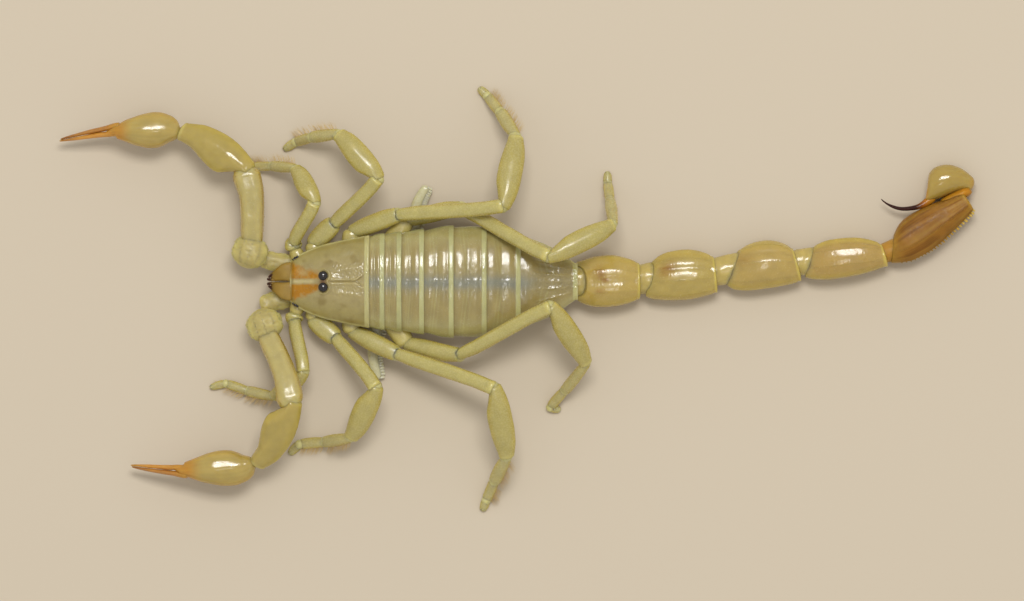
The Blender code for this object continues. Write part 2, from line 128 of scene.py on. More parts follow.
def shaped_grid(name, columns, rows, place, tint):
    """A grid primitive with each corner moved to place(u, v) and given a colour there."""
    bpy.ops.object.select_all(action="DESELECT")
    bpy.ops.mesh.primitive_grid_add(x_subdivisions=columns, y_subdivisions=rows, size=2.0)
    piece = bpy.context.object
    piece.name = piece.data.name = name
    paint = piece.data.attributes.new("tint", "FLOAT_COLOR", "POINT")
    for corner in piece.data.vertices:
        u, v = (corner.co.x + 1.0) / 2, (corner.co.y + 1.0) / 2
        point = Vector(place(u, v))
        paint.data[corner.index].color = (*tint(u, v, point), 1.0)
        corner.co = FRONT + point * MM
    return piece


def turn_out(weld=False):
    """Points the active piece's faces outwards, its doubled corners welded first if asked."""
    bpy.ops.object.mode_set(mode="EDIT")
    bpy.ops.mesh.select_all(action="SELECT")
    if weld:
        bpy.ops.mesh.remove_doubles(threshold=1e-6)
    bpy.ops.mesh.normals_make_consistent(inside=False)
    bpy.ops.object.mode_set(mode="OBJECT")


def thicken(piece, thickness):
    """Gives a curved sheet its wall, inwards, closed along its rim."""
    turn_out()
    wall = piece.modifiers.new("wall", "SOLIDIFY")
    wall.thickness = thickness * MM
    wall.offset = -1.0
    bpy.ops.object.modifier_apply(modifier=wall.name)


def linked(name, data):
    """A new object in the scene, holding a mesh, a lamp or a camera."""
    made = bpy.data.objects.new(name, data)
    bpy.context.scene.collection.objects.link(made)
    return made


def painted(mesh, colours):
    """Gives a mesh the colours of its corners, in one flat list."""
    mesh.attributes.new("tint", "FLOAT_COLOR", "POINT").data.foreach_set("color", colours)


def add(tree, kind, settings=None, **links):
    """A new node with its settings, and its inputs linked to other nodes' outputs."""
    made = tree.nodes.new(kind)
    for key, value in (settings or {}).items():
        if key in made.inputs:
            made.inputs[key].default_value = value
        else:
            setattr(made, key, value)
    for key, output in links.items():
        tree.links.new(output, made.inputs[key.replace("_", " ")])
    return made


def shaded(name, constants):
    """A new material, its nodes, and its shader with the constant inputs set."""
    made = bpy.data.materials.new(name)
    made.use_nodes = True
    shader = made.node_tree.nodes["Principled BSDF"]
    for key, value in constants.items():
        shader.inputs[key].default_value = value
    return made, made.node_tree, shader


def clouded(name, size, dark, light, constants):
    """A material that drifts between two colours, in patches of a size in millimetres."""
    made, tree, shader = shaded(name, constants)
    place = add(tree, "ShaderNodeTexCoord").outputs["Object"]
    cloud = add(tree, "ShaderNodeTexNoise", {"Scale": 1 / (size * MM)}, Vector=place)
    tint = add(tree, "ShaderNodeMixRGB", Fac=cloud.outputs["Fac"], settings={
        "Color1": (*linear(dark), 1.0), "Color2": (*linear(light), 1.0)})
    tree.links.new(tint.outputs["Color"], shader.inputs["Base Color"])
    return made


def cuticle(name, mottle, depth, gloss, glow, streaks=(1.0, 1.0, 1.0), coat=0.3, shine=0.5):
    """Tanned chitin: a hard, waxy, slightly clear shell over pale flesh.

    mottle is the size in millimetres of its cloudy patches and depth how much they
    darken it, gloss its roughness, glow how much light passes under its surface,
    streaks how far the patches are drawn out along each axis, coat how much wax lies
    over it, and shine how strongly its own surface reflects, 0.5 being plain chitin.
    """
    made, tree, shader = shaded(name, {
        "IOR": 1.52, "Specular IOR Level": shine, "Coat Weight": coat, "Coat Roughness": 0.1,
        "Subsurface Weight": glow, "Subsurface Radius": (1.0, 0.9, 0.45), "Subsurface Scale": 1.1 * MM})
    place = add(tree, "ShaderNodeTexCoord").outputs["Object"]
    drawn = add(tree, "ShaderNodeMapping", {"Scale": streaks}, Vector=place)
    cloud = add(tree, "ShaderNodeTexNoise", {"Scale": 1 / (mottle * MM), "Detail": 5.0},
                Vector=drawn.outputs["Vector"])
    shade = add(tree, "ShaderNodeMapRange",
                {"From Min": 0.3, "From Max": 0.7, "To Min": 1 - depth, "To Max": 1 + depth},
                Value=cloud.outputs["Fac"])
    tint = add(tree, "ShaderNodeAttribute", {"attribute_name": "tint"})
    colour = add(tree, "ShaderNodeMixRGB", {"blend_type": "MULTIPLY", "Fac": 1.0},
                 Color1=tint.outputs["Color"], Color2=shade.outputs["Result"])
    # The surface is finely pebbled, with pits a few hundredths of a millimetre wide.
    pits = add(tree, "ShaderNodeTexNoise", {"Scale": 1 / (PIT_SPACING * MM), "Detail": 3.0}, Vector=place)
    dull = add(tree, "ShaderNodeMapRange",
               {"From Min": 0.35, "From Max": 0.7, "To Min": gloss * 0.75, "To Max": gloss * 1.5},
               Value=pits.outputs["Fac"])
    relief = add(tree, "ShaderNodeBump", {"Strength": 0.15, "Distance": 0.012 * MM},
                 Height=pits.outputs["Fac"])
    tree.links.new(colour.outputs["Color"], shader.inputs["Base Color"])
    tree.links.new(dull.outputs["Result"], shader.inputs["Roughness"])
    tree.links.new(relief.outputs["Normal"], shader.inputs["Normal"])
    return made


def pick(*pieces):
    """Selects these pieces and no others, with the first one active."""
    bpy.ops.object.select_all(action="DESELECT")
    for piece in pieces:
        piece.select_set(True)
    bpy.context.view_layer.objects.active = pieces[0]


def finish(piece, material, slot, *nodes):
    """Shades a piece, gives it its material, and ties it to the frame."""
    pick(piece)
    bpy.ops.object.shade_smooth_by_angle(angle=math.radians(SMOOTH_UNDER))
    piece.data.materials.clear()
    piece.data.materials.append(material)
    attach(piece, "root")
    if nodes:
        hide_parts(*nodes)
    return piece


SHIELD_TAN, SHIELD_SIDE, SHIELD_RIM = linear("#ab9863", "#9f8e51", "#cbbe7b")
# The pale colour of the median stripe, also used for a painted highlight on the right orange patch.
SHIELD_ORANGE, SHIELD_STRIPE_AND_HIGHLIGHT = linear("#b37400", "#cdb77c")
SHIELD_CLOUD, EYE_MOUND = linear("#88743c", "#6b4526")


def shield_height(x, y):
    """The shield's top surface: a broad arch with the mound of the middle eyes on it."""
    half, crown = spline(TRUNK, min(x, 21.8))
    arch = max(1.0 - abs(y / half) ** 2.6, 0.0) ** 0.5
    height = SHIELD_EDGE + (crown - SHIELD_EDGE) * arch
    height += 0.32 * hill(math.hypot((x - EYE_X) / 1.3, y), 0.0, 0.75)
    height -= 0.35 * fall(0.0, 0.4, x)  # the front lip turns down
    margin = min(half - abs(y), (x + 0.02) * 1.5)
    height += 0.06 * hill(margin, 0.07, 0.06)  # the beaded rim
    from_eye = math.hypot(x - EYE_X, abs(y) - EYE_SPREAD)
    behind = ease(-0.25, 0.15, x - EYE_X + 0.5 * (abs(y) - EYE_SPREAD))
    height += 0.15 * hill(from_eye, 0.5, 0.09) * behind  # brow ridges
    back = ease(2.95, 3.3, x) * fall(5.45, 5.7, x)
    fork = 0.35 * ease(5.0, 5.6, x)
    height -= 0.09 * hill(abs(y), fork, 0.07) * back  # the furrow, forked at its rear
    height += 0.05 * hill(abs(y), fork + 0.16, 0.08) * back
    keel = abs(y) - 0.8 - 0.14 * (x - 3.4)
    height += 0.05 * hill(keel, 0.0, 0.16) * ease(3.0, 3.6, x) * fall(5.3, 5.6, x)
    height -= 0.09 * hill(abs(y), 1.95, 0.5) * ease(2.6, 4.4, x) * fall(5.2, 5.6, x)
    height += 0.04 * ease(5.68, 5.76, x) - 0.08 * ease(6.0, 6.08, x)  # the rear band
    rough = 0.008 + 0.035 * hill(abs(y), 0.75, 0.5) * ease(2.9, 3.5, x)
    rough += 0.02 * fall(1.6, 2.2, x) * hill(y, 0.0, 1.2)
    height += rough * grain((x, y, 0.0), 0.14) + 0.022 * grain((x, y, 3.0), 0.75)
    return height


def shield_place(u, v):
    x = SHIELD_LENGTH * v
    half = spline(TRUNK, x)[0]
    y = -half * math.cos(math.pi * u)
    return x, y, shield_height(x, y)


def shield_tint(u, v, point):
    x, y, _ = point
    half = spline(TRUNK, x)[0]
    colour = SHIELD_TAN.lerp(SHIELD_SIDE, ease(0.35, 0.85, abs(y) / half))
    cloud = grain((x * 0.8, y, 7.0), 0.9) + 0.5 * grain((x, y, 2.0), 0.35)
    colour = colour.lerp(SHIELD_CLOUD, 0.65 * ease(0.0, 0.6, cloud) * ease(0.9, 1.5, abs(y)))
    reach = 1.45 - 0.36 * x + 0.18 * grain(point, 0.35)
    stain = ease(0.08, 0.34, abs(y)) * fall(reach - 0.3, reach + 0.25, abs(y))
    # On the right the orange stain is painted thinner round the spot of a painted highlight.
    stain_thinned_for_highlight = 1.0 if y < 0 else 0.9 - 0.3 * hill(math.hypot(x - 1.25, y - 0.75), 0.0, 0.4)
    stain *= fall(2.0, 2.5, x) * stain_thinned_for_highlight * 1.25
    colour = colour.lerp(SHIELD_ORANGE, min(stain * (0.9 + 0.4 * grain(point, 0.16, 4.0)), 1.0))
    # Painted highlight: a pale spot on the right orange patch.
    colour = colour.lerp(SHIELD_STRIPE_AND_HIGHLIGHT, 0.4 * hill(math.hypot(x - 0.95, (y - 0.72) * 1.3), 0.0, 0.35))
    stripe = hill(y, 0.0, 0.13) * ease(0.1, 0.35, x) * fall(1.6, 2.0, x)
    colour = colour.lerp(SHIELD_STRIPE_AND_HIGHLIGHT, 0.9 * stripe)
    colour = colour.lerp(EYE_MOUND, 0.9 * hill(math.hypot(x - EYE_X, y), 0.0, 0.3))
    band = ease(5.68, 5.74, x)
    rim = max(hill(half - abs(y), 0.05, 0.08), 0.6 * hill(x, 0.05, 0.1))
    return colour.lerp(SHIELD_RIM, max(band * 0.85, rim * 0.9))


shield_cuticle = cuticle("chitin_head_shield", 0.7, 0.08, 0.19, 0.6, coat=0.15, shine=0.4)
shield = shaped_grid("head_shield", 150, 140, shield_place, shield_tint)
thicken(shield, SHELL_THICKNESS)
finish(shield, shield_cuticle, "back_plates", "carapace")

# --------------------------------------------------------------------------
# Eyes: two domes of clear lens over black pigment, sunk in the sides of their
# mound, and three tiny ones in a row at each front corner of the shield.
SIDE_EYES = ((0.27, 1.68, 0.1), (0.42, 1.79, 0.12), (0.58, 1.88, 0.11))

# A clear wet lens over black pigment.
eye_lens = clouded("lens_over_black_pigment", 0.25, "#060405", "#1c100c", {
    "Roughness": 0.07, "Specular IOR Level": 0.3, "IOR": 1.52, "Coat Weight": 0.8,
    "Coat Roughness": 0.03})


def dome(name, centre, radius, segments, flatness=0.92):
    """A ball primitive, flattened a little upwards: an eye, or the skin inside a joint."""
    bpy.ops.object.select_all(action="DESELECT")
    bpy.ops.mesh.primitive_uv_sphere_add(segments=segments, ring_count=segments // 2,
                                         radius=radius * MM, location=FRONT + Vector(centre) * MM)
    ball = bpy.context.object
    ball.name = ball.data.name = name
    bpy.ops.object.mode_set(mode="EDIT")
    bpy.ops.mesh.select_all(action="SELECT")
    bpy.ops.transform.resize(value=(1.0, 1.0, flatness))
    bpy.ops.object.mode_set(mode="OBJECT")
    bpy.ops.object.transform_apply(location=True, rotation=True, scale=True)
    return ball


def joined(name, pieces):
    """Makes one piece of several."""
    pick(*pieces)
    if len(pieces) > 1:
        bpy.ops.object.join()
    pieces[0].name = pieces[0].data.name = name
    return pieces[0]


for word, side in SIDES:
    centre = (EYE_X, side * EYE_SPREAD, shield_height(EYE_X, EYE_SPREAD) + 0.05)
    eye = dome(f"middle_eye_{word}", centre, EYE_RADIUS, 40, 0.66)
    finish(eye, eye_lens, "black_eye", f"eye_median_{word}")
    row = []
    for x, y, radius in SIDE_EYES:
        spot = (x, side * y, shield_height(x, y) - 0.02)
        row.append(dome("side_eye", spot, radius, 16))
    finish(joined(f"side_eyes_{word}", row), eye_lens, "black_eye")

# --------------------------------------------------------------------------
# Back plates: seven plates of tanned chitin, each lapping over the front of the
# next. Each has a sunk front strip, two low swellings across it, a rough strip
# down the middle, and a pale thickened band along its rear edge.
TERGITE_ENDS = (7.04, 8.34, 10.06, 12.32, 14.84, 17.44, 21.8)
LAP = 0.2
BODY_MIDDLE, BODY_FULLNESS = 2.3, 2.3
TRUNK_POWER = 0.87  # squares the section of the skin and belly a little
BAND_WIDTH = 0.34
BACK_TAN, BACK_SIDE_LIGHTENED, BACK_STRIPE_AND_REFLECTION = linear("#a18d54", "#b0a266", "#848471")
BACK_BAND, BACK_FRONT = linear("#c0ba78", "#8f7e48")

back_cuticle = cuticle("chitin_back_plates", 0.8, 0.1, 0.2, 0.6, (1.0, 0.5, 1.0), 0.3)


def back_plate(number, start, end):
    """One back plate from its front edge to the end of its band."""
    length = end - start
    last = number == 7

    def place(u, v):
        x = start + (length + LAP) * v
        along = (x - start) / length
        half, crown = spline(TRUNK, min(x, TERGITE_ENDS[-1]))
        angle = math.pi * (0.03 + 0.94 * u)
        swell = 0.97 + 0.035 * ease(0.0, 0.9, along)
        y = -half * swell * bent(math.cos(angle), 2 / BODY_FULLNESS)
        z = BODY_MIDDLE + (crown - BODY_MIDDLE) * math.sin(angle) ** (2 / BODY_FULLNESS)
        over = math.sin(angle)
        relief = -0.1 * fall(0.0, 0.16, along)
        relief += 0.045 * hill(along, 0.27, 0.12) + 0.045 * hill(along, 0.76, 0.11)
        relief -= 0.035 * hill(along, 0.52, 0.07)
        to_end = end + LAP - x
        relief += 0.05 * fall(BAND_WIDTH, BAND_WIDTH + 0.06, to_end)
        relief -= 0.05 * fall(0.0, 0.06, to_end)
        middle = hill(y, -0.15, 0.85) * ease(0.12, 0.35, along)
        relief += (0.004 + 0.03 * middle) * grain((x, y, number), 0.13)
        relief += 0.012 * grain((x, y, number + 5.0), 0.5)
        relief += 0.035 * hill(y, 0.0, 0.1) * ease(0.2, 0.5, along)
        granules = max(grain((x, y, 11.0), 0.12), 0.0) * hill(to_end, BAND_WIDTH * 0.6, 0.12)
        relief += 0.05 * granules * hill(y, 0.0, 1.8)
        if last:
            grow = ease(18.2, 19.6, x) * fall(21.2, 21.6, x)
            for line, lean in ((0.55, 0.06), (1.4, 0.28)):
                ridge = abs(y) - line + lean * (x - 19.5)
                relief += (0.05 + 0.05 * grain((x, y, 8.0), 0.11)) * hill(ridge, 0.0, 0.1) * grow
        return x, y, z + relief * max(over, 0.25)

    def tint(u, v, point):
        x, y, _ = point
        along = (x - start) / length
        half = spline(TRUNK, min(x, TERGITE_ENDS[-1]))[0]
        # The sides are painted lighter: partly the plates' own pale margin, partly painted light that
        # cancels the shade of the sloping sides.
        colour = BACK_TAN.lerp(BACK_SIDE_LIGHTENED, ease(0.55, 0.95, abs(y) / half))
        colour = colour.lerp(BACK_FRONT, 0.6 * fall(0.05, 0.3, along))
        # The grey stripe down the middle is partly the plates' own darker midline and partly a painted
        # reflection, the dark gap between the lamps' highlights.
        ragged = y + 0.15 * grain((x, 0.0, 0.0), 0.8)
        stripe = 0.9 * hill(ragged, -0.1, 0.6) * (1.0 - 0.75 * ease(17.6, 19.4, x))
        colour = colour.lerp(BACK_STRIPE_AND_REFLECTION, stripe)
        slant = along + 0.05 * abs(y) - 0.05
        lines = hill(slant, 0.5, 0.02) + 0.7 * hill(slant, 0.4, 0.018) + 0.5 * hill(slant, 0.62, 0.02)
        colour = colour.lerp(BACK_BAND, 0.3 * lines * ease(0.3, 0.9, abs(y)))
        band = fall(BAND_WIDTH - 0.02, BAND_WIDTH + 0.06, end + LAP - x)
        rim = ease(0.94, 0.985, abs(y) / half)
        return colour.lerp(BACK_BAND, max(0.9 * band, 0.9 * rim))

    plate = shaped_grid(f"back_plate_{number}", 120, max(34, int(length / 0.05)), place, tint)
    thicken(plate, SHELL_THICKNESS)
    finish(plate, back_cuticle, "back_plates", f"mesosoma_{number}")


for number, (start, end) in enumerate(zip((SHIELD_LENGTH - 0.15, *TERGITE_ENDS), TERGITE_ENDS), 1):
    back_plate(number, start, end)

# --------------------------------------------------------------------------
# Trunk below the back plates: a soft, finely folded skin with five belly plates
# let into it, and the eight flattened leg bases meeting at a small breast plate.
SKIN_PALE, SKIN_FOLD = linear("#c0b878", "#a2965a")
BELLY_TAN = linear("#a89a62")
BELLY_HEIGHT = 0.87
BELLY_PLATES = ((9.3, 11.4), (11.4, 13.9), (13.9, 16.5), (16.5, 19.0), (19.0, 21.7))

soft_skin = cuticle("soft_joint_skin", 0.35, 0.08, 0.38, 0.4)
belly_cuticle = cuticle("chitin_belly_plates", 0.9, 0.08, 0.22, 0.25)


def trunk_skin_place(u, v):
    x = 0.35 + 21.6 * v
    half, crown = spline(TRUNK, min(x, TERGITE_ENDS[-1]))
    close = 1.0 - 0.25 * ease(21.0, 22.0, x)
    low = BELLY_HEIGHT + 0.05 + 0.9 * fall(0.3, 2.0, x) + 0.5 * ease(20.5, 22.0, x)
    angle = 2 * math.pi * u
    across, rise = math.cos(angle), math.sin(angle)
    fold = 0.035 * math.sin(x * 14.0) * (1.0 - abs(rise))
    y = (half * 0.955 * close + fold) * bent(across, TRUNK_POWER)
    lift = (crown - 0.16 - BODY_MIDDLE) * 0.94 if rise > 0 else BODY_MIDDLE - low
    if x < SHIELD_LENGTH:
        lift = min(lift, 0.4) if rise > 0 else lift
        y *= 0.94
    z = BODY_MIDDLE + lift * bent(rise, TRUNK_POWER)
    return x, y, z


def skin_tint(u, v, point):
    return SKIN_PALE.lerp(SKIN_FOLD, 0.4 + 0.4 * grain(point, 0.3))


# The rolled-up grid is welded along its seam, and its open ends are filled.
skin_parts = [shaped_grid("trunk_skin", 64, 150, trunk_skin_place, skin_tint)]
turn_out(weld=True)
bpy.ops.object.mode_set(mode="EDIT")
bpy.ops.mesh.select_all(action="SELECT")
bpy.ops.mesh.region_to_loop()
bpy.ops.mesh.fill()
bpy.ops.object.mode_set(mode="OBJECT")
turn_out()

belly_parts = []
for start, end in BELLY_PLATES:

    def belly_place(u, v):
        x = start + (end + 0.06 - start) * v
        half = spline(TRUNK, min(x, 21.7))[0]
        angle = math.pi * (1.12 + 0.76 * u)
        y = half * 0.99 * bent(math.cos(angle), TRUNK_POWER)
        drop = BODY_MIDDLE - BELLY_HEIGHT - 0.5 * ease(20.5, 21.7, x)
        z = BODY_MIDDLE - drop * abs(math.sin(angle)) ** TRUNK_POWER - 0.03 * ease(0.6, 1.0, v)
        return x, y, max(z, 0.82) + 0.015 * grain((x, y, 9.0), 0.5)

    def belly_tint(u, v, point):
        return BELLY_TAN.lerp(BACK_BAND, 0.6 * ease(0.88, 0.95, v) + 0.15 * grain(point, 0.8))

    belly_parts.append(shaped_grid("belly_plate", 40, 18, belly_place, belly_tint))
    thicken(belly_parts[-1], 0.07)
finish(joined("belly_plates", belly_parts), belly_cuticle, "limb_shell")


def plain(colour):
    """One colour all over a tube."""
    return lambda angle, share, point: colour


def lumpy(*lumps):
    """A relief of smooth lumps, each set given by its height and its size in millimetres."""
    return lambda angle, share, point: sum(height * grain(point, size) for height, size in lumps)


def even(share, centre, half, deep, fullness=2.1):
    """A station of a tube, square to its path and the same on every side."""
    return share, centre, half, half, deep, deep, fullness, Vector()


def between(share, right, left, middle, deep, fullness=2.25):
    """A station of a tube that spans two points of the floor plan at its own slant."""
    right, left = Vector((*right, middle)), Vector((*left, middle))
    half = (right - left).length / 2
    return share, (right + left) / 2, half, half, deep, deep, fullness, (right - left).normalized()


def tube(name, stations, columns, rows, tint, relief=None, ends=(0.3, 0.3), lap=(0.0, 0.0),
         front=None):
    """A closed shell with rounded ends along a curved path.

    Each station is (share of the way, middle point, extent to the right, to the left,
    above and below, fullness, way across or none). relief(angle, share, point) lifts the
    surface; ends are the lengths of the rounded ends, lap how far they reach past the
    first and last station, and front(angle) the share at which the shell starts.
    Returns the piece and a function for its surface points.
    """
    first, second, last, before = (stations[i][1] for i in (0, 1, -1, -2))
    length = sum((b[1] - a[1]).length for a, b in zip(stations, stations[1:]))
    start_lap = (first - second).normalized() * lap[0]
    end_lap = (last - before).normalized() * lap[1]

    def frame_at(share):
        centre = spline(stations, share)[0]
        ahead = spline(stations, min(share + 0.01, 1.0))[0]
        behind = spline(stations, max(share - 0.01, 0.0))[0]
        side = spline(stations, share)[6]
        if side.length < 0.1:
            side = (ahead - behind).cross(UP)
        side = side.normalized()
        centre = centre + start_lap * fall(0.0, 0.25, share) + end_lap * ease(0.75, 1.0, share)
        top = side.cross(ahead - behind).normalized()
        return centre, side, top

    cache = {}

    def surface(angle, share):
        begin = front(angle) if front else 0.0
        near = share * length / max(ends[0], 1e-6)
        share = share + begin * (1.0 - share) * ease(0.0, 0.5, near)
        key = round(share, 5)
        if key not in cache:
            cache[key] = (frame_at(share), spline(stations, share))
        (centre, side, top), (_, right, left, rise, drop, fullness, _) = cache[key]
        far = (1.0 - share) * length / max(ends[1], 1e-6)
        rounding = math.sqrt(max(1.0 - (1.0 - min(near, 1.0)) ** 2, 0.0))
        rounding *= math.sqrt(max(1.0 - (1.0 - min(far, 1.0)) ** 2, 0.0))
        across, height = math.cos(angle), math.sin(angle)
        sideways = (right if across > 0 else left) * bent(across, 2 / fullness)
        upwards = (rise if height > 0 else drop) * bent(height, 2 / fullness)
        out = side * sideways + top * upwards
        point = centre + out * rounding
        direction = out.normalized()
        if relief:
            point = point + direction * relief(angle, share, point) * rounding
        point.z = max(point.z, 0.0)
        return point, direction

    def place(u, v):
        return surface(2 * math.pi * u, (1.0 - math.cos(math.pi * v)) / 2)[0]

    def colour(u, v, point):
        return tint(2 * math.pi * u, (1.0 - math.cos(math.pi * v)) / 2, point)

    piece = shaped_grid(name, columns, rows, place, colour)
    turn_out(weld=True)
    return piece, surface


BASE_TAN = linear("#b3a45c")
# Where each pair of legs leaves the body, and where and how wide its base starts inside.
HIPS = {1: (0.4, 2.4, 1.55), 2: (1.7, 2.85, 1.55), 3: (4.7, 3.8, 1.5), 4: (8.8, 4.7, 1.6)}
LEG_BASES = {1: ((1.1, 0.55, 1.6), 0.62), 2: ((2.5, 0.5, 1.55), 0.72),
             3: ((4.6, 0.6, 1.5), 0.82), 4: ((6.6, 0.6, 1.45), 0.9)}


def base_tint(angle, share, point):
    return BASE_TAN.lerp(SKIN_PALE, 0.3 * ease(0.8, 1.0, share) + 0.15 * grain(point, 0.6))


base_parts = []
for word, side in SIDES:
    for pair, (x, y, z) in HIPS.items():
        root, wide = LEG_BASES[pair]
        root, hip = Vector((root[0], side * root[1], root[2])), Vector((x, side * y, z))
        stations = (even(0.0, root, wide * 0.7, 0.55, 2.6),
                    even(0.5, root.lerp(hip, 0.5), wide, 0.63, 2.6),
                    even(1.0, hip, wide * 0.8, 0.6, 2.3))
        base_parts.append(tube("leg_base", stations, 28, 26, base_tint, lap=(0.0, 0.25))[0])
BREAST = ((0.0, 4.4, 0.25, 0.36), (0.5, 5.4, 0.55, 0.38), (1.0, 7.9, 0.95, 0.38))
breast = [even(share, Vector((x, 0.0, 1.25)), half, deep, 2.6) for share, x, half, deep in BREAST]
base_parts.append(tube("breast_plate", breast, 28, 20, base_tint)[0])
finish(joined("leg_bases", base_parts), belly_cuticle, "limb_shell", "coxosternum")

# --------------------------------------------------------------------------
# Jaws: two short, stout claws side by side under the front lip, of smooth amber
# chitin, each with a fixed and a hinged fang of hard, near-black chitin.
JAW_AMBER, JAW_PALE, FANG_BROWN = linear("#876a26", "#927738", "#3b1c10")

claw_cuticle = cuticle("chitin_amber_claws", 0.9, 0.07, 0.15, 0.8)
jaw_cuticle = cuticle("chitin_jaws", 0.6, 0.1, 0.42, 0.3, coat=0.0, shine=0.2)


def jaw_tint(angle, share, point):
    colour = JAW_PALE.lerp(JAW_AMBER, ease(0.3, 0.8, share) + 0.25 * grain(point, 0.4))
    return colour.lerp(FANG_BROWN, 0.4 * ease(0.8, 1.0, share))


def fang_tint(angle, share, point):
    return JAW_AMBER.lerp(FANG_BROWN, ease(0.15, 0.5, share))


for word, side in SIDES:
    rows = ((0.0, -0.3, 0.77, 0.75, 2.26, 0.42), (0.3, 0.25, 0.73, 0.71, 2.25, 0.41),
            (0.55, 0.65, 0.6, 0.58, 2.2, 0.38), (0.8, 1.05, 0.44, 0.42, 2.16, 0.31),
            (1.0, 1.4, 0.3, 0.28, 2.1, 0.22))
    stations = [even(share, Vector((-ahead, side * middle, height)), half, deep, 3.6)
                for share, ahead, middle, half, height, deep in rows]
    parts = [tube("jaw", stations, 40, 44, jaw_tint, lumpy((0.015, 0.2)),
                  ends=(0.3, 0.2), lap=(0.0, 0.05))[0]]
    for start, tip, width in (((1.2, 0.14), (1.75, 0.14), 0.12), ((1.05, 0.62), (1.66, 0.34), 0.13)):
        line = [Vector((-start[0], side * start[1], 2.28)),
                Vector((-(start[0] * 0.4 + tip[0] * 0.6), side * (start[1] * 0.5 + tip[1] * 0.5), 2.27)),
                Vector((-tip[0], side * tip[1], 2.12))]
        stations = [even(share, point, width * size, width * size)
                    for share, point, size in zip((0.0, 0.55, 1.0), line, (1.0, 0.85, 0.4))]
        parts.append(tube("fang", stations, 14, 16, fang_tint, ends=(0.1, 0.1))[0])
        for tooth in range(3):
            spot = line[0].lerp(line[2], 0.4 + 0.22 * tooth) + Vector((0.0, 0.0, 0.06))
            inward = Vector((-0.04, side * (0.12 if start[1] < 0.4 else -0.12), 0.02))
            stations = [even(share, spot + inward * reach, size, size)
                        for share, reach, size in ((0.0, 0.0, 0.08), (0.6, 0.7, 0.06), (1.0, 1.2, 0.02))]
            parts.append(tube("tooth", stations, 8, 6, plain(FANG_BROWN), ends=(0.02, 0.02))[0])
    finish(joined(f"jaw_{word}", parts), jaw_cuticle, "hand_shell", f"chelicera_{word}")

# --------------------------------------------------------------------------
# Combs: a pair of touch organs under the body, each a thin, pale, jointed blade
# with a row of soft rounded teeth along its rear edge.
COMB_PALE, COMB_TOOTH = linear("#bdb890", "#c9c5a4")
COMBS = {
    "right": ((7.8, 0.7), (9.3, 3.6), (9.7, 5.9), (10.45, 7.35)),
    "left": ((7.6, -0.7), (6.6, -3.6), (6.35, -5.6), (6.75, -7.5)),
}
COMB_HEIGHT = 0.5
TEETH_PER_COMB = 24

comb_cuticle = cuticle("thin_pale_comb_chitin", 0.5, 0.06, 0.3, 0.4)


def comb_tint(angle, share, point):
    joint = hill(share * 3 % 1.0, 0.02, 0.05)
    return COMB_PALE.lerp(SKIN_FOLD, 0.3 * joint + 0.1 * grain(point, 0.3))


for word, side in SIDES:
    joints = [Vector((x, y, COMB_HEIGHT)) for x, y in COMBS[word]]
    widths = (0.42, 0.46, 0.42, 0.3)
    stations = [even(index / 3, joint, width, 0.22, 2.6)
                for index, (joint, width) in enumerate(zip(joints, widths))]
    blade, comb_surface = tube("comb_blade", stations, 28, 60, comb_tint, ends=(0.2, 0.45))
    parts = [blade]
    rear = 0.0 if word == "right" else math.pi
    for tooth in range(TEETH_PER_COMB):
        share = 0.1 + 0.88 * tooth / (TEETH_PER_COMB - 1)
        root, out = comb_surface(rear, share)
        reach = 0.3 + 0.04 * math.sin(share * math.pi)
        stations = [even(step, root + out * (reach * way) - UP * 0.08 * way, size, size)
                    for step, way, size in ((0.0, -0.4, 0.1), (0.5, 0.4, 0.12), (1.0, 1.0, 0.1))]
        parts.append(tube("tooth", stations, 10, 10, plain(COMB_TOOTH), ends=(0.05, 0.1))[0])
    finish(joined(f"comb_{word}", parts), comb_cuticle, "comb_shell", f"pecten_{word}")

# --------------------------------------------------------------------------
# Tail rings one to four: stout glossy rings, each a single moulded tube of chitin
# with keels of fine beads. They lie on the floor and roll over one after another.
RING_HEIGHTS = (3.3, 3.2, 3.15, 3.1)
RING_TILTS = (0.0, 14.0, 30.0, 48.0)  # how far each has rolled on to its side, in degrees
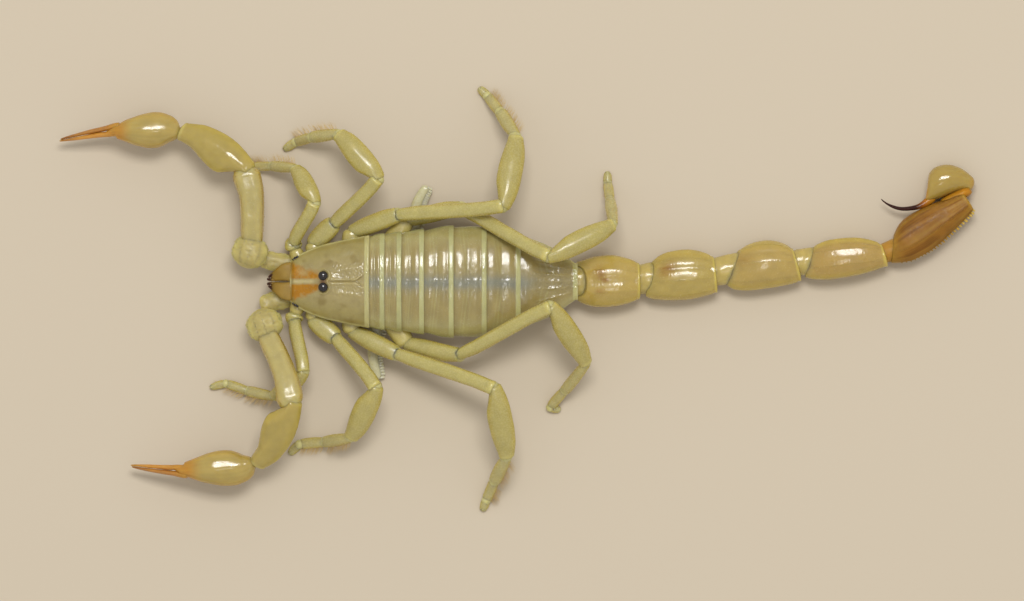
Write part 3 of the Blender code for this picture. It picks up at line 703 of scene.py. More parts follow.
# Plan of each ring: share of its length, right edge, left edge.
RING_PLANS = (
    ((0.0, (21.9, -1.4), (21.9, 1.5)), (0.11, (22.5, -1.72), (22.4, 1.62)),
     (0.24, (23.1, -1.92), (23.05, 1.85)), (0.4, (23.85, -1.97), (23.85, 2.0)),
     (0.56, (24.65, -1.93), (24.65, 2.03)), (0.71, (25.4, -1.8), (25.4, 1.9)),
     (0.85, (26.1, -1.6), (26.1, 1.7)), (0.94, (26.55, -1.4), (26.55, 1.47)),
     (1.0, (26.9, -1.2), (26.85, 1.25))),
    ((0.0, (27.15, -1.1), (27.6, 1.45)), (0.1, (27.7, -1.3), (28.1, 1.85)),
     (0.23, (28.45, -1.4), (28.7, 2.17)), (0.37, (29.2, -1.44), (29.4, 2.35)),
     (0.51, (30.05, -1.4), (30.05, 2.43)), (0.65, (30.9, -1.3), (30.75, 2.42)),
     (0.8, (31.75, -1.1), (31.45, 2.28)), (0.91, (32.35, -0.9), (32.05, 2.05)),
     (1.0, (32.8, -0.75), (32.55, 1.75))),
    ((0.0, (33.2, -0.1), (34.2, 2.3)), (0.15, (34.05, -0.6), (35.1, 2.83)),
     (0.38, (35.35, -0.65), (36.05, 3.1)), (0.57, (36.55, -0.5), (36.8, 3.13)),
     (0.75, (37.7, -0.3), (37.55, 2.98)), (0.9, (38.65, -0.08), (38.15, 2.7)),
     (1.0, (39.25, 0.15), (38.6, 2.35))),
    ((0.0, (39.35, 0.4), (39.85, 2.45)), (0.09, (39.95, 0.2), (40.25, 2.8)),
     (0.23, (40.85, 0.15), (41.0, 3.13)), (0.38, (41.75, 0.2), (41.9, 3.3)),
     (0.54, (42.75, 0.35), (42.85, 3.38)), (0.7, (43.75, 0.55), (43.7, 3.33)),
     (0.82, (44.6, 0.8), (44.35, 3.2)), (0.92, (45.3, 1.05), (44.95, 3.0)),
     (1.0, (45.85, 1.25), (45.4, 2.7))),
)
RING_TALL = ((0.0, 0.56), (0.11, 0.77), (0.25, 0.92), (0.42, 0.99), (0.55, 1.0), (0.7, 0.97), (0.85, 0.87),
             (0.95, 0.76), (1.0, 0.68))
# Necks: start, end, half width and half height of the soft joint before each ring.
NECKS = (((21.2, 0.02), (23.3, 0.02), 1.4, 1.12), ((26.4, 0.1), (28.7, 0.4), 1.2, 1.06),
         ((32.1, 0.65), (35.0, 1.2), 1.15, 1.05), ((38.4, 1.4), (40.7, 1.65), 1.05, 1.02))
FLOOR_DIP = 0.1
RING_TAN = linear("#b19951", "#ac9750", "#ac934f", "#ab8e4a")
RING_EDGE_GLOW, RING_NECK, RING_RIM = linear("#b8a042", "#b5a058", "#c0ac4e")
SMUDGE = linear("#8d6210")
# Keels: angle in degrees from the ring's own left-right line, height, width in degrees.
RING_KEELS = ((66, 0.035, 6), (114, 0.035, 6), (24, 0.03, 6), (156, 0.03, 6),
              (-22, 0.03, 6), (202, 0.03, 6), (-60, 0.03, 6), (240, 0.03, 6))

tail_cuticle = cuticle("chitin_tail_rings", 0.8, 0.07, 0.2, 0.7, coat=0.25)


def angle_between(angle, degrees):
    """How far, in degrees, an angle in radians is from one in degrees."""
    return abs((math.degrees(angle) - degrees + 180.0) % 360.0 - 180.0)


def ridges(angle, keels, tilt=0.0):
    """The height at an angle of a set of ridges that run along a tube."""
    return sum(height * hill(angle_between(angle, degrees + tilt), 0.0, width)
               for degrees, height, width in keels)


def bead_rows(surface, angles, start, end, size, spacing, length, colour):
    """Spots for rows of beads along a tube, one row at each angle."""
    count = max(int((end - start) * length / spacing), 1)
    spots = []
    for degrees in angles:
        for step in range(count + 1):
            share = start + (end - start) * (step + 0.25 * math.sin(step * 7.3)) / count
            point, out = surface(math.radians(degrees), min(max(share, 0.0), 1.0))
            radius = size * (0.8 + 0.25 * math.sin(step * 2.7 + degrees))
            spots.append((point, out, radius, radius, colour))
    return spots


def beads(name, spots, fine=1):
    """One mesh of many small domes, copied from one ball primitive."""
    bpy.ops.object.select_all(action="DESELECT")
    bpy.ops.mesh.primitive_ico_sphere_add(subdivisions=fine, radius=1.0)
    ball = bpy.context.object
    shape = np.array([vertex.co for vertex in ball.data.vertices])
    faces = np.array([face.vertices for face in ball.data.polygons])
    bpy.data.objects.remove(ball)
    points, corners, colours = [], [], []
    for index, (point, out, radius, tall, colour) in enumerate(spots):
        aim = out.to_track_quat("Z", "Y").to_matrix()
        turned = (shape * (radius, radius, tall)) @ np.array(aim).T
        placed = (turned + np.array(point)) * MM + np.array(FRONT)
        placed[:, 2] = np.maximum(placed[:, 2], 0.0)
        points.append(placed)
        corners.append(faces + index * len(shape))
        colours.append(np.tile((*colour, 1.0), (len(shape), 1)))
    mesh = bpy.data.meshes.new(name)
    mesh.from_pydata(np.concatenate(points).tolist(), [], np.concatenate(corners).tolist())
    painted(mesh, np.concatenate(colours).ravel())
    return linked(name, mesh)


for index, plan in enumerate(RING_PLANS):
    height, tilt = RING_HEIGHTS[index], RING_TILTS[index]
    middle = height / 2 - FLOOR_DIP
    stations = [between(share, right, left, middle, spline(RING_TALL, share)[0] * height / 2)
                for share, right, left in plan]
    length = (stations[-1][1] - stations[0][1]).length

    def ring_front(angle):
        across = math.sin(math.radians(angle_between(angle, 90 + tilt))) / 0.75
        if across > 1.0 or angle_between(angle, 90 + tilt) > 90:
            return 0.0
        return (0.15, 0.06, 0.04, 0.04)[index] * math.sqrt(1.0 - across**2)

    def ring_relief(angle, share, point):
        past = share - ring_front(angle)
        fade = ease(0.03, 0.12, past) * fall(0.9, 0.96, share)
        lift = ridges(angle, RING_KEELS, tilt) * fade
        lift -= 0.09 * hill(angle_between(angle, 90 + tilt), 0.0, 9) * fade
        lift += 0.05 * hill(share, 0.975, 0.02)
        return lift + 0.012 * grain(point, 0.13) * fade + 0.02 * grain(point, 1.1)

    def ring_tint(angle, share, point):
        x, y, _ = point
        # The sides are painted a deeper yellow, partly the chitin's own colour and partly painted light
        # shining through the thin sides.
        colour = RING_TAN[index].lerp(RING_EDGE_GLOW, 0.85 * ease(30, 75, angle_between(angle, 90)))
        colour = colour.lerp(RING_RIM, 0.7 * ease(0.93, 0.96, share))
        streak = 0.75 + 0.7 * grain((x * 0.3, y * 2.2, 0.0), 0.3)
        if index == 0:
            stain = hill(x, 23.75, 0.42) * (hill(y, 0.62, 0.42) + 0.55 * hill(y, -0.75, 0.2))
            stain += 0.9 * hill(x, 24.1, 0.3) * hill(y, 0.1, 0.2)
            colour = colour.lerp(SMUDGE, min(1.1 * stain * streak, 0.9))
        if index == 1:
            along = (x - 28.9) * 0.85 + (y - 0.95) * 0.5
            across = (y - 0.95) * 0.85 - (x - 28.9) * 0.5
            stain = hill(along, 0.0, 0.75) * hill(across, 0.0, 0.5)
            colour = colour.lerp(SMUDGE, min(1.0 * stain * streak, 0.9))
        if index == 2:
            colour = colour.lerp(SMUDGE, 0.35 * hill(x, 34.6, 0.8) * hill(y, 1.7, 0.5) * streak)
        return colour

    ring, ring_surface = tube("ring", stations, 112, 130, ring_tint, ring_relief,
                              ends=(0.14, 0.16), lap=(0.05, 0.0), front=ring_front)
    start, end, half, deep = NECKS[index]
    neck_ends = Vector((*start, middle)), Vector((*end, middle))
    neck = tube("neck", [even(0.0, neck_ends[0], half * 0.9, deep * 0.9),
                         even(0.5, neck_ends[0].lerp(neck_ends[1], 0.5), half, deep),
                         even(1.0, neck_ends[1], half, deep * 0.8)], 48, 24,
                lambda angle, share, point: RING_NECK * (1.0 + 0.1 * grain(point, 0.3)),
                lumpy((0.03, 0.4), (0.03, 0.15)))[0]
    spots = []
    for degrees, _, _ in RING_KEELS:
        start = ring_front(math.radians(degrees + tilt)) + 0.04
        spots += bead_rows(ring_surface, (degrees + tilt,), start, 0.92, 0.03, 0.12, length, RING_RIM)
    ring = joined(f"tail_ring_{index + 1}", [ring, neck, beads("ring_beads", spots)])
    finish(ring, tail_cuticle, "pale_shell", f"metasoma_{index + 1}")

# --------------------------------------------------------------------------
# Fifth tail ring: the longest, brown and streaked along its length. It lies on its
# side, with a row of lobed teeth along each of its two lower keels.
FIFTH_HALF_SIDE = 1.36
FIFTH_PLAN = (  # share of its length, right edge, left edge, share of the height
    (0.0, (45.9, 1.45), (46.15, 3.5), 0.72), (0.1, (46.8, 1.45), (46.45, 4.13), 0.9),
    (0.21, (47.8, 1.75), (46.85, 4.65), 0.98), (0.35, (48.8, 2.27), (47.5, 5.15), 1.0),
    (0.49, (49.65, 2.9), (48.28, 5.58), 1.0), (0.64, (50.5, 3.68), (49.1, 5.95), 0.95),
    (0.77, (51.25, 4.4), (49.95, 6.25), 0.88), (0.9, (51.95, 5.1), (50.8, 6.6), 0.78),
    (1.0, (52.35, 5.55), (51.45, 6.9), 0.7),
)
FIFTH_BROWN, FIFTH_DARK = linear("#8b5f1c", "#704610")
FIFTH_PALE, FIFTH_TIP = linear("#a5812f", "#c9a650")
BULB_OLIVE, BULB_AMBER = linear("#a48b40", "#b0771a")
FIFTH_KEELS = ((16, 0.08, 7), (-30, 0.08, 7), (138, 0.06, 8), (222, 0.06, 8), (75, 0.03, 7))

brown_cuticle = cuticle("chitin_brown_tail_end", 0.8, 0.1, 0.42, 0.5, coat=0.0, shine=0.2)

stations = [between(share, right, left, FIFTH_HALF_SIDE - FLOOR_DIP, FIFTH_HALF_SIDE * tall, 2.5)
            for share, right, left, tall in FIFTH_PLAN]
fifth_length = (stations[-1][1] - stations[0][1]).length
fifth_forward = (stations[-1][1] - stations[0][1]).normalized()


def fifth_relief(angle, share, point):
    fade = ease(0.05, 0.2, share) * fall(0.92, 0.98, share)
    stria = noise.noise(Vector((math.degrees(angle) / 3.5, share * 2.5, 1.0)))
    lift = (ridges(angle, FIFTH_KEELS) + 0.012 * stria) * fade
    return lift + 0.012 * grain(point, 0.2) + 0.03 * grain(point, 0.8)


def fifth_tint(angle, share, point):
    across = math.degrees(angle) / 9.0
    streak = noise.noise(Vector((across, share * 1.6, 0.0)))
    streak += 0.6 * noise.noise(Vector((across * 2.6, share * 3.0, 5.0)))
    colour = FIFTH_BROWN.lerp(FIFTH_DARK, 0.8 * ease(0.0, 0.6, streak))
    colour = colour.lerp(FIFTH_PALE, 0.4 * ease(0.0, 0.6, -streak))
    colour = colour.lerp(FIFTH_PALE, 0.5 * fall(0.0, 0.18, share) + 0.8 * ease(0.92, 1.0, share))
    return colour.lerp(FIFTH_PALE, 0.45 * hill(angle_between(angle, 5), 0.0, 16))


fifth, fifth_surface = tube("fifth", stations, 120, 100, fifth_tint, fifth_relief, ends=(0.12, 0.12))
spots = []
for degrees in (16, -30):
    for step in range(25):
        share = 0.1 + 0.88 * step / 24
        point, out = fifth_surface(math.radians(degrees), share)
        size = 0.06 + 0.09 * ease(0.2, 0.85, share) * (0.8 + 0.2 * math.sin(step * 2.3))
        colour = FIFTH_BROWN.lerp(FIFTH_TIP, 0.75 * ease(0.45, 0.95, share))
        aim = out + fifth_forward * 0.4
        spots.append((point + out * size * 0.4, aim, size * 0.75, size * 1.5, colour))
spots += bead_rows(fifth_surface, (75, 138, 222), 0.1, 0.95, 0.042, 0.16, fifth_length,
                   FIFTH_BROWN.lerp(FIFTH_PALE, 0.35))
fifth_neck = tube("fifth_neck", [even(0.0, Vector((44.7, 1.95, 1.2)), 0.65, 0.9),
                                 even(1.0, Vector((46.9, 2.6, 1.2)), 0.95, 1.05)], 40, 20,
                  plain(RING_NECK.lerp(BULB_AMBER, 0.75)))[0]
seam = (((49.7, 6.0), 0.22, 0.6), ((50.8, 6.5), 0.34, 0.85), ((51.6, 6.82), 0.42, 0.9),
        ((52.03, 7.15), 0.36, 0.6))
stations = [even(index / 3, Vector((*spot, 1.15)), half, deep)
            for index, (spot, half, deep) in enumerate(seam)]
bulb_neck = tube("bulb_neck", stations, 32, 32, plain(BULB_AMBER), lumpy((0.03, 0.3)))[0]
fifth = joined("tail_ring_5", [fifth, fifth_neck, bulb_neck, beads("fifth_beads", spots, 2)])
finish(fifth, brown_cuticle, "brown_tail_shell", "metasoma_5")

# --------------------------------------------------------------------------
# Sting: a swollen poison bulb of smooth, thin chitin, folded back beside the fifth
# ring, that narrows into a hooked spine, amber at its root and black at its tip.
BULB_DEPTH = 2.5
BULB_PLAN = (  # share of its length, right edge, left edge, share of the depth
    (0.0, (52.5, 7.7), (52.15, 6.85), 0.42), (0.13, (52.0, 8.2), (51.7, 6.95), 0.65),
    (0.28, (51.35, 8.68), (51.1, 6.9), 0.86), (0.45, (50.5, 8.95), (50.4, 6.65), 0.98),
    (0.63, (49.65, 8.87), (49.7, 6.35), 1.0), (0.77, (49.1, 8.55), (49.1, 6.15), 0.9),
    (0.87, (48.83, 8.05), (48.78, 6.02), 0.72), (1.0, (48.72, 7.1), (48.5, 5.95), 0.42),
)
STING_PLAN = (  # share of its length, right edge, left edge, height of its middle
    (0.0, (49.2, 7.0), (49.3, 6.1), 1.25), (0.12, (48.55, 6.35), (48.75, 5.75), 1.5),
    (0.24, (48.05, 5.95), (48.1, 5.53), 1.65), (0.39, (47.45, 5.77), (47.5, 5.43), 1.6),
    (0.56, (46.8, 5.71), (46.8, 5.42), 1.5), (0.69, (46.3, 5.8), (46.22, 5.56), 1.4),
    (0.84, (45.75, 6.0), (45.69, 5.85), 1.3), (0.94, (45.4, 6.22), (45.35, 6.13), 1.2),
    (1.0, (45.25, 6.35), (45.21, 6.31), 1.15),
)
STING_AMBER, STING_BLACK = linear("#9c5a18", "#2e0f07")

bulb_cuticle = cuticle("chitin_poison_bulb", 1.0, 0.05, 0.13, 0.8)
sting_cuticle = cuticle("hardened_black_sting", 0.5, 0.05, 0.16, 0.05, coat=0.0, shine=0.25)

stations = [between(share, right, left, BULB_DEPTH / 2 - FLOOR_DIP, BULB_DEPTH * tall / 2, 2.15)
            for share, right, left, tall in BULB_PLAN]


def bulb_tint(angle, share, point):
    return BULB_OLIVE.lerp(BULB_AMBER, 0.9 * ease(0.8, 1.0, share) + 0.35 * fall(0.0, 0.15, share))


bulb = tube("poison_bulb", stations, 72, 72, bulb_tint, lumpy((0.006, 0.2), (0.03, 1.0)),
            ends=(0.3, 0.25))[0]
finish(bulb, bulb_cuticle, "brown_tail_shell", "vesicle")

stations = [between(share, right, left, height, math.dist(right, left) / 2, 2.0)
            for share, right, left, height in STING_PLAN]


def hook_tint(angle, share, point):
    colour = BULB_AMBER.lerp(STING_AMBER, ease(0.05, 0.2, share))
    return colour.lerp(STING_BLACK, ease(0.16, 0.36, share + 0.06 * math.sin(angle)))


hook = tube("sting_spine", stations, 24, 80, hook_tint, ends=(0.05, 0.08))[0]
finish(hook, sting_cuticle, "dark_sting", "aculeus")

# --------------------------------------------------------------------------
# Claw arms: a lumpy hip piece, a beaded upper arm, a smooth fore arm and a swollen
# hand whose fixed finger and hinged brown finger meet along a thin slit.
ARM_BEND = 1.1
ARMS = {  # base, hip, elbow, wrist, knuckle, finger tip
    "right": ((-2.6, 1.6, 2.0), (-2.85, 2.8, 2.6), (-3.1, 8.5, 3.6), (-8.34, 11.5, 2.5),
              (-13.4, 11.6, 2.5), (-17.65, 10.8, 1.6)),
    "left": ((-2.2, -2.35, 2.0), (-1.75, -3.85, 2.6), (0.35, -9.2, 4.95), (-2.5, -14.05, 2.4),
             (-8.2, -14.5, 2.4), (-12.2, -14.1, 1.5)),
}
# Width and depth of the upper arm and the fore arm.
ARM_SIZES = {"right": ((1.96, 1.8), (2.75, 2.1)), "left": ((1.9, 1.8), (2.55, 2.1))}
HAND_WIDTH, HAND_DEPTH = 2.75, 2.4
FINGER_WIDTH, FINGER_DEPTH = 0.38, 0.66
# Outlines: share of the length, reach to the inside of the bend, to its outside, depth.
BASE_SHAPE = ((0.0, 0.9, 0.9, 0.95), (0.5, 1.0, 1.0, 1.0), (1.0, 0.85, 0.85, 0.9))
HIP_SHAPE = ((0.0, 0.8, 0.8, 0.8), (0.25, 0.97, 0.97, 0.95), (0.5, 1.0, 1.0, 1.0),
             (0.75, 0.95, 0.95, 0.95), (1.0, 0.8, 0.8, 0.8))
UPPER_SHAPE = ((0.0, 0.8, 0.6, 0.78), (0.12, 0.88, 0.8, 0.9), (0.33, 0.8, 0.96, 1.0),
               (0.5, 0.78, 1.02, 1.0), (0.66, 0.84, 1.05, 1.0), (0.8, 1.0, 1.06, 1.0),
               (0.92, 1.1, 1.04, 0.98), (1.0, 1.02, 0.96, 0.9))
FORE_SHAPE = ((0.0, 0.1, 0.66, 0.66), (0.08, 0.22, 0.74, 0.78), (0.15, 0.42, 0.82, 0.87),
              (0.21, 0.66, 0.89, 0.93), (0.29, 0.9, 0.98, 0.98), (0.38, 1.0, 1.06, 1.0),
              (0.5, 0.92, 1.09, 1.0), (0.63, 0.74, 1.05, 0.98), (0.74, 0.57, 0.97, 0.93),
              (0.84, 0.45, 0.83, 0.84), (0.93, 0.4, 0.68, 0.72), (1.0, 0.34, 0.56, 0.62))
HAND_SHAPE = ((0.0, 0.26, 0.44, 0.5), (0.05, 0.36, 0.58, 0.62), (0.12, 0.52, 0.76, 0.77),
              (0.2, 0.72, 0.91, 0.89), (0.32, 0.94, 1.03, 0.98), (0.47, 1.0, 1.0, 1.0),
              (0.62, 0.92, 0.86, 0.98), (0.77, 0.76, 0.67, 0.88), (0.9, 0.56, 0.46, 0.68),
              (1.0, 0.42, 0.3, 0.5))
HIP_ROWS = (-5, 25, 60, 90, 120, 155, 185)  # angles of the rows of beads, in degrees
# Keels: angle round the limb in degrees, height, width in degrees; below zero for a groove.
UPPER_KEELS = ((38, 0.05, 7), (142, 0.05, 7), (0, 0.03, 7), (180, 0.03, 7), (90, -0.05, 18))
FORE_KEELS = ((78, 0.025, 14), (10, 0.02, 8), (170, 0.02, 8))
HAND_KEELS = ((90, 0.02, 8), (62, 0.015, 5), (118, 0.015, 5), (35, 0.015, 5), (145, 0.015, 5))
# The arms' edge colours are partly painted light: light shining through their thin edges.
ARM_PALE, ARM_EDGE_GLOW, ARM_BEAD = linear("#b0a267", "#b19742", "#ac8f37")
ARM_RIM = linear("#beb36d")
FORE_TAN, FORE_EDGE_GLOW = linear("#a8954e", "#ae9a3f")
HAND_TAN, HAND_EDGE_GLOW, HAND_ORANGE = linear("#aa9550", "#af913c", "#b4811d")
FIXED_ORANGE, MOVING_BROWN, FINGER_TIP = linear("#b8802e", "#a5702a", "#7d4a1a")

arm_cuticle = cuticle("chitin_pale_arms", 0.7, 0.06, 0.2, 0.8, coat=0.2)
hip_cuticle = cuticle("chitin_beaded_hips", 0.5, 0.08, 0.36, 0.8, coat=0.0, shine=0.35)
finger_cuticle = cuticle("chitin_brown_fingers", 0.6, 0.08, 0.2, 0.5)


def bend_shift(joints, index, bend):
    """How far a joint is cut inwards as the bend there is rounded."""
    if index in (0, len(joints) - 1):
        return Vector()
    before = (joints[index] - joints[index - 1]).normalized()
    after = (joints[index + 1] - joints[index]).normalized()
    return (after - before) * (bend / 4)


def inside(joints, index):
    """The side a limb bends to at a joint: 1 for the right, -1 for the left."""
    before, after = joints[index] - joints[index - 1], joints[index + 1] - joints[index]
    return -1.0 if before.cross(after).z > 0 else 1.0


def limb_stations(joints, index, bend, size, shape, inner=1.0, fullness=2.1):
    """Stations for the piece of a limb between two joints, inner being its hollow side."""
    start, end = joints[index], joints[index + 1]
    width, depth = size
    stations = []
    for share, near, away, deep in shape:
        centre = start.lerp(end, share)
        centre = centre + bend_shift(joints, index, bend) * fall(0.0, 0.3, share)
        centre = centre + bend_shift(joints, index + 1, bend) * ease(0.7, 1.0, share)
        right, left = (near, away) if inner > 0 else (away, near)
        stations.append((share, centre, width * right / 2, width * left / 2, depth * deep / 2,
                         depth * deep / 2, fullness, Vector()))
    return stations


def keeled(keels, roughness, collar=0.0):
    """A relief of lengthwise ridges and grooves on a limb, and a thickened far rim."""

    def relief(angle, share, point):
        fade = ease(0.05, 0.2, share) * fall(0.85, 0.97, share)
        lift = ridges(angle, keels) * fade + collar * hill(share, 0.955, 0.02)
        return lift + roughness * grain(point, 0.2) + 0.02 * grain(point, 0.9)

    return relief


def edge_glow_tone(middle, edge, rim):
    """A colour that deepens from the middle of the back to the edges of a limb: partly the chitin's own
    colour, partly painted light, a sheen on the paler middle and light shining through the thin edges.
    """

    def tint(angle, share, point):
        colour = middle.lerp(edge, ease(25, 70, angle_between(angle, 90)))
        ends = max(fall(0.0, 0.06, share), ease(0.92, 0.97, share))
        return colour.lerp(rim, 0.6 * ends) * (1.0 + 0.06 * grain(point, 0.5))

    return tint


lumps = lumpy((0.09, 0.6), (0.06, 0.2))
pale = edge_glow_tone(ARM_PALE, ARM_RIM, ARM_RIM)
arm_tint = edge_glow_tone(ARM_PALE, ARM_EDGE_GLOW, ARM_RIM)
fore_tint = edge_glow_tone(FORE_TAN, FORE_EDGE_GLOW, ARM_RIM)
for word, side in SIDES:
    joints = [Vector(joint) for joint in ARMS[word]]
    upper_size, fore_size = ARM_SIZES[word]

    root = [Vector((0.5, side * 1.1, 1.08)), Vector((-2.3, side * 1.8, 1.35))]
    base = tube("base", limb_stations(root, 0, 0.0, (1.5, 1.1), BASE_SHAPE), 40, 36, pale, lumps)[0]
    lean = Vector((0.35, side, 0.0)).normalized()
    blob = [joints[1] - lean * 1.85, joints[1] + lean * 0.75]
    hip, hip_surface = tube("hip", limb_stations(blob, 0, 0.0, (2.75, 2.2), HIP_SHAPE), 60, 52,
                            pale, lumps, ends=(1.0, 0.95))
    spots = bead_rows(hip_surface, HIP_ROWS, 0.12, 0.9, 0.055, 0.17, 2.0, ARM_RIM)
    arm_hip = joined(f"arm_hip_{word}", [base, hip, beads("hip_beads", spots)])
    finish(arm_hip, hip_cuticle, "limb_shell", f"palp_{word}_trochanter")

    elbow, wrist_side = inside(joints, 2), inside(joints, 3)
    upper, upper_surface = tube(
        "upper", limb_stations(joints, 1, ARM_BEND, upper_size, UPPER_SHAPE, elbow, 2.7), 72, 80,
        arm_tint, keeled(UPPER_KEELS, 0.01),
        ends=(0.35, 0.75), lap=(0.3, 0.55))
    spots = bead_rows(upper_surface, (38, 142, 0, 180), 0.05, 0.93, 0.042, 0.15, 5.7, ARM_BEAD)
    upper = joined(f"upper_arm_{word}", [upper, beads("arm_beads", spots)])
    finish(upper, arm_cuticle, "limb_shell", f"palp_{word}_femur")

    stations = limb_stations(joints, 2, ARM_BEND, fore_size, FORE_SHAPE, elbow)
    fore = tube(f"fore_arm_{word}", stations, 80, 84, fore_tint, keeled(FORE_KEELS, 0.012, 0.04),
                ends=(0.4, 0.25), lap=(0.5, 0.15))[0]
    finish(fore, claw_cuticle, "hand_shell", f"palp_{word}_patella")

    wrist, knuckle, tip = joints[3:]
    reach = tip - knuckle
    inward = Vector((0.0, -side, 0.0))
    whole = (knuckle - wrist).length + reach.length
    reach_share = (knuckle - wrist).length / whole
    stations = [(share * reach_share, *rest) for share, *rest in
                limb_stations(joints, 3, ARM_BEND, (HAND_WIDTH, HAND_DEPTH), HAND_SHAPE, wrist_side)]
    for way, size in ((0.12, 1.25), (0.27, 1.02), (0.5, 0.85), (0.75, 0.62), (0.92, 0.38), (1.0, 0.2)):
        half, deep = FINGER_WIDTH * size / 2, FINGER_DEPTH * size / 2
        bow = inward * (half + 0.012 - 0.12 * way * (1.0 - way))
        centre = knuckle + reach * way + bow
        stations.append(even(reach_share + (1 - reach_share) * way, centre, half, deep))

    def hand_tint(angle, share, point):
        along = share / reach_share
        # The sides are painted a deeper yellow, partly the chitin's own colour and partly painted light
        # shining through the thin sides.
        colour = HAND_TAN.lerp(HAND_EDGE_GLOW, ease(25, 80, angle_between(angle, 90)))
        streak = noise.noise(Vector((math.degrees(angle) / 7.0, share * 1.5, 0.0)))
        colour = colour * (1.0 + 0.08 * streak)
        colour = colour.lerp(ARM_RIM, 0.5 * fall(0.0, 0.05, along))
        colour = colour.lerp(HAND_ORANGE, ease(0.7, 0.95, along))
        colour = colour.lerp(FIXED_ORANGE, ease(0.98, 1.25, along))
        return colour.lerp(FINGER_TIP, 0.7 * ease(1.5, 1.8, along))

    hand = tube(f"hand_{word}", stations, 84, 140, hand_tint, keeled(HAND_KEELS, 0.004),
                ends=(0.5, 0.1), lap=(0.1, 0.0))[0]
    finish(hand, claw_cuticle, "hand_shell", f"palp_{word}_hand")

    stations = []
    for share, way, size in ((0.0, -0.12, 1.3), (0.12, 0.0, 1.35), (0.25, 0.16, 1.08),
                             (0.5, 0.46, 0.86), (0.75, 0.73, 0.62), (0.92, 0.91, 0.38), (1.0, 0.98, 0.2)):
        half, deep = FINGER_WIDTH * size / 2, FINGER_DEPTH * size / 2
        bow = inward * (half + 0.012 + 0.12 * way * (1.0 - way))
        stations.append(even(share, knuckle + reach * way - bow, half, deep))

    def finger_tint(angle, share, point):
        colour = HAND_ORANGE.lerp(MOVING_BROWN, ease(0.02, 0.3, share))
        return colour.lerp(FINGER_TIP, ease(0.6, 1.0, share))

    finger, finger_surface = tube(f"moving_finger_{word}", stations, 32, 90, finger_tint,
                                  keeled(((90, 0.015, 12),), 0.004), ends=(0.25, 0.12))
    teeth_at = 180 if side * reach.x < 0 else 0
    spots = bead_rows(finger_surface, (teeth_at,), 0.3, 0.95, 0.022, 0.09, 4.0, FINGER_TIP)
    finger = joined(f"moving_finger_{word}", [finger, beads("finger_teeth", spots)])
    finish(finger, finger_cuticle, "finger_shell", f"palp_{word}_movable_finger")

# --------------------------------------------------------------------------
# Walking legs: eight, each of hip, thigh, knee piece, shin and a two-piece foot
# with a pair of tiny claws. The pieces are flat-sided, with a pale keel of fine
# beads along their edges, and soft skin shows between them at the joints.
KNEE_BEND, FOOT_BEND = 0.7, 0.3
# Length of hip piece, thigh, knee piece, shin and two foot pieces, for each pair.
LEG_LENGTHS = {1: (0.75, 4.1, 3.45, 2.4, 1.8, 1.3), 2: (2.4, 5.4, 4.85, 2.75, 2.0, 1.15),
               3: (4.0, 8.4, 5.8, 2.85, 2.05, 0.95), 4: (4.5, 8.5, 5.8, 3.5, 2.05, 0.95)}
LEG_SIZES = {  # width and depth of the same six
    1: ((1.3, 1.2), (1.03, 1.25), (1.45, 1.35), (0.85, 0.85), (0.74, 0.64), (0.66, 0.54)),
    2: ((1.5, 1.3), (1.1, 1.45), (1.78, 1.55), (0.96, 0.95), (0.82, 0.68), (0.74, 0.56)),
    3: ((1.35, 1.25), (1.1, 1.38), (1.85, 1.65), (1.04, 1.0), (0.84, 0.7), (0.74, 0.56)),
    4: ((1.28, 1.22), (1.08, 1.4), (1.68, 1.65), (0.9, 1.0), (0.78, 0.68), (0.68, 0.56)),
}
# The stance: compass heading and far-end height of each of the six lengths.
STANCE = {
    "1_right": ((108, 57, 120, 175, 182, 183), (1.75, 4.05, 2.7, 1.15, 0.27, 0.15)),
    "1_left": ((-102, -76, -140, 168, 160, 196), (1.75, 3.15, 1.6, 0.5, 0.27, 0.15)),
    "2_right": ((44, 43, 132, 188, 195, 212), (2.0, 4.45, 3.6, 1.8, 0.27, 0.15)),
    "2_left": ((-39, -49, -117, -171, -176, -133), (2.0, 4.4, 2.5, 0.7, 0.27, 0.15)),
    "3_right": ((21, 3, 80, 123, 128, 135), (2.75, 4.95, 3.3, 1.55, 0.27, 0.15)),
    "3_left": ((-27, -18, -80, -117, -113, -110), (2.4, 5.4, 3.5, 1.55, 0.27, 0.15)),
    "4_right": ((13.5, -31, 27, 99, 97, 91), (2.25, 5.95, 4.8, 1.8, 0.27, 0.15)),
    "4_left": ((-14, 30, -58, -129, -132, -8), (2.9, 5.8, 3.45, 1.2, 0.27, 0.15)),
}
HIP_PIECE = ((0.0, 0.72, 0.72, 0.78), (0.3, 1.0, 1.0, 1.0), (0.72, 1.02, 1.02, 1.0),
             (0.92, 0.88, 0.88, 0.9), (1.0, 0.74, 0.74, 0.8))
THIGH = ((0.0, 0.66, 0.78, 0.78), (0.07, 0.86, 0.9, 0.88), (0.2, 0.98, 0.96, 0.98),
         (0.5, 1.0, 0.98, 1.0), (0.8, 0.98, 0.97, 0.98), (0.93, 0.98, 0.98, 0.94), (1.0, 0.9, 0.9, 0.86))
KNEE = ((0.0, 0.2, 0.68, 0.66), (0.08, 0.36, 0.8, 0.78), (0.2, 0.7, 0.92, 0.92), (0.33, 0.98, 0.99, 1.0),
        (0.5, 1.02, 1.03, 1.0), (0.64, 0.96, 1.02, 1.0), (0.78, 0.82, 0.96, 0.93),
        (0.91, 0.6, 0.8, 0.8), (1.0, 0.5, 0.64, 0.68))
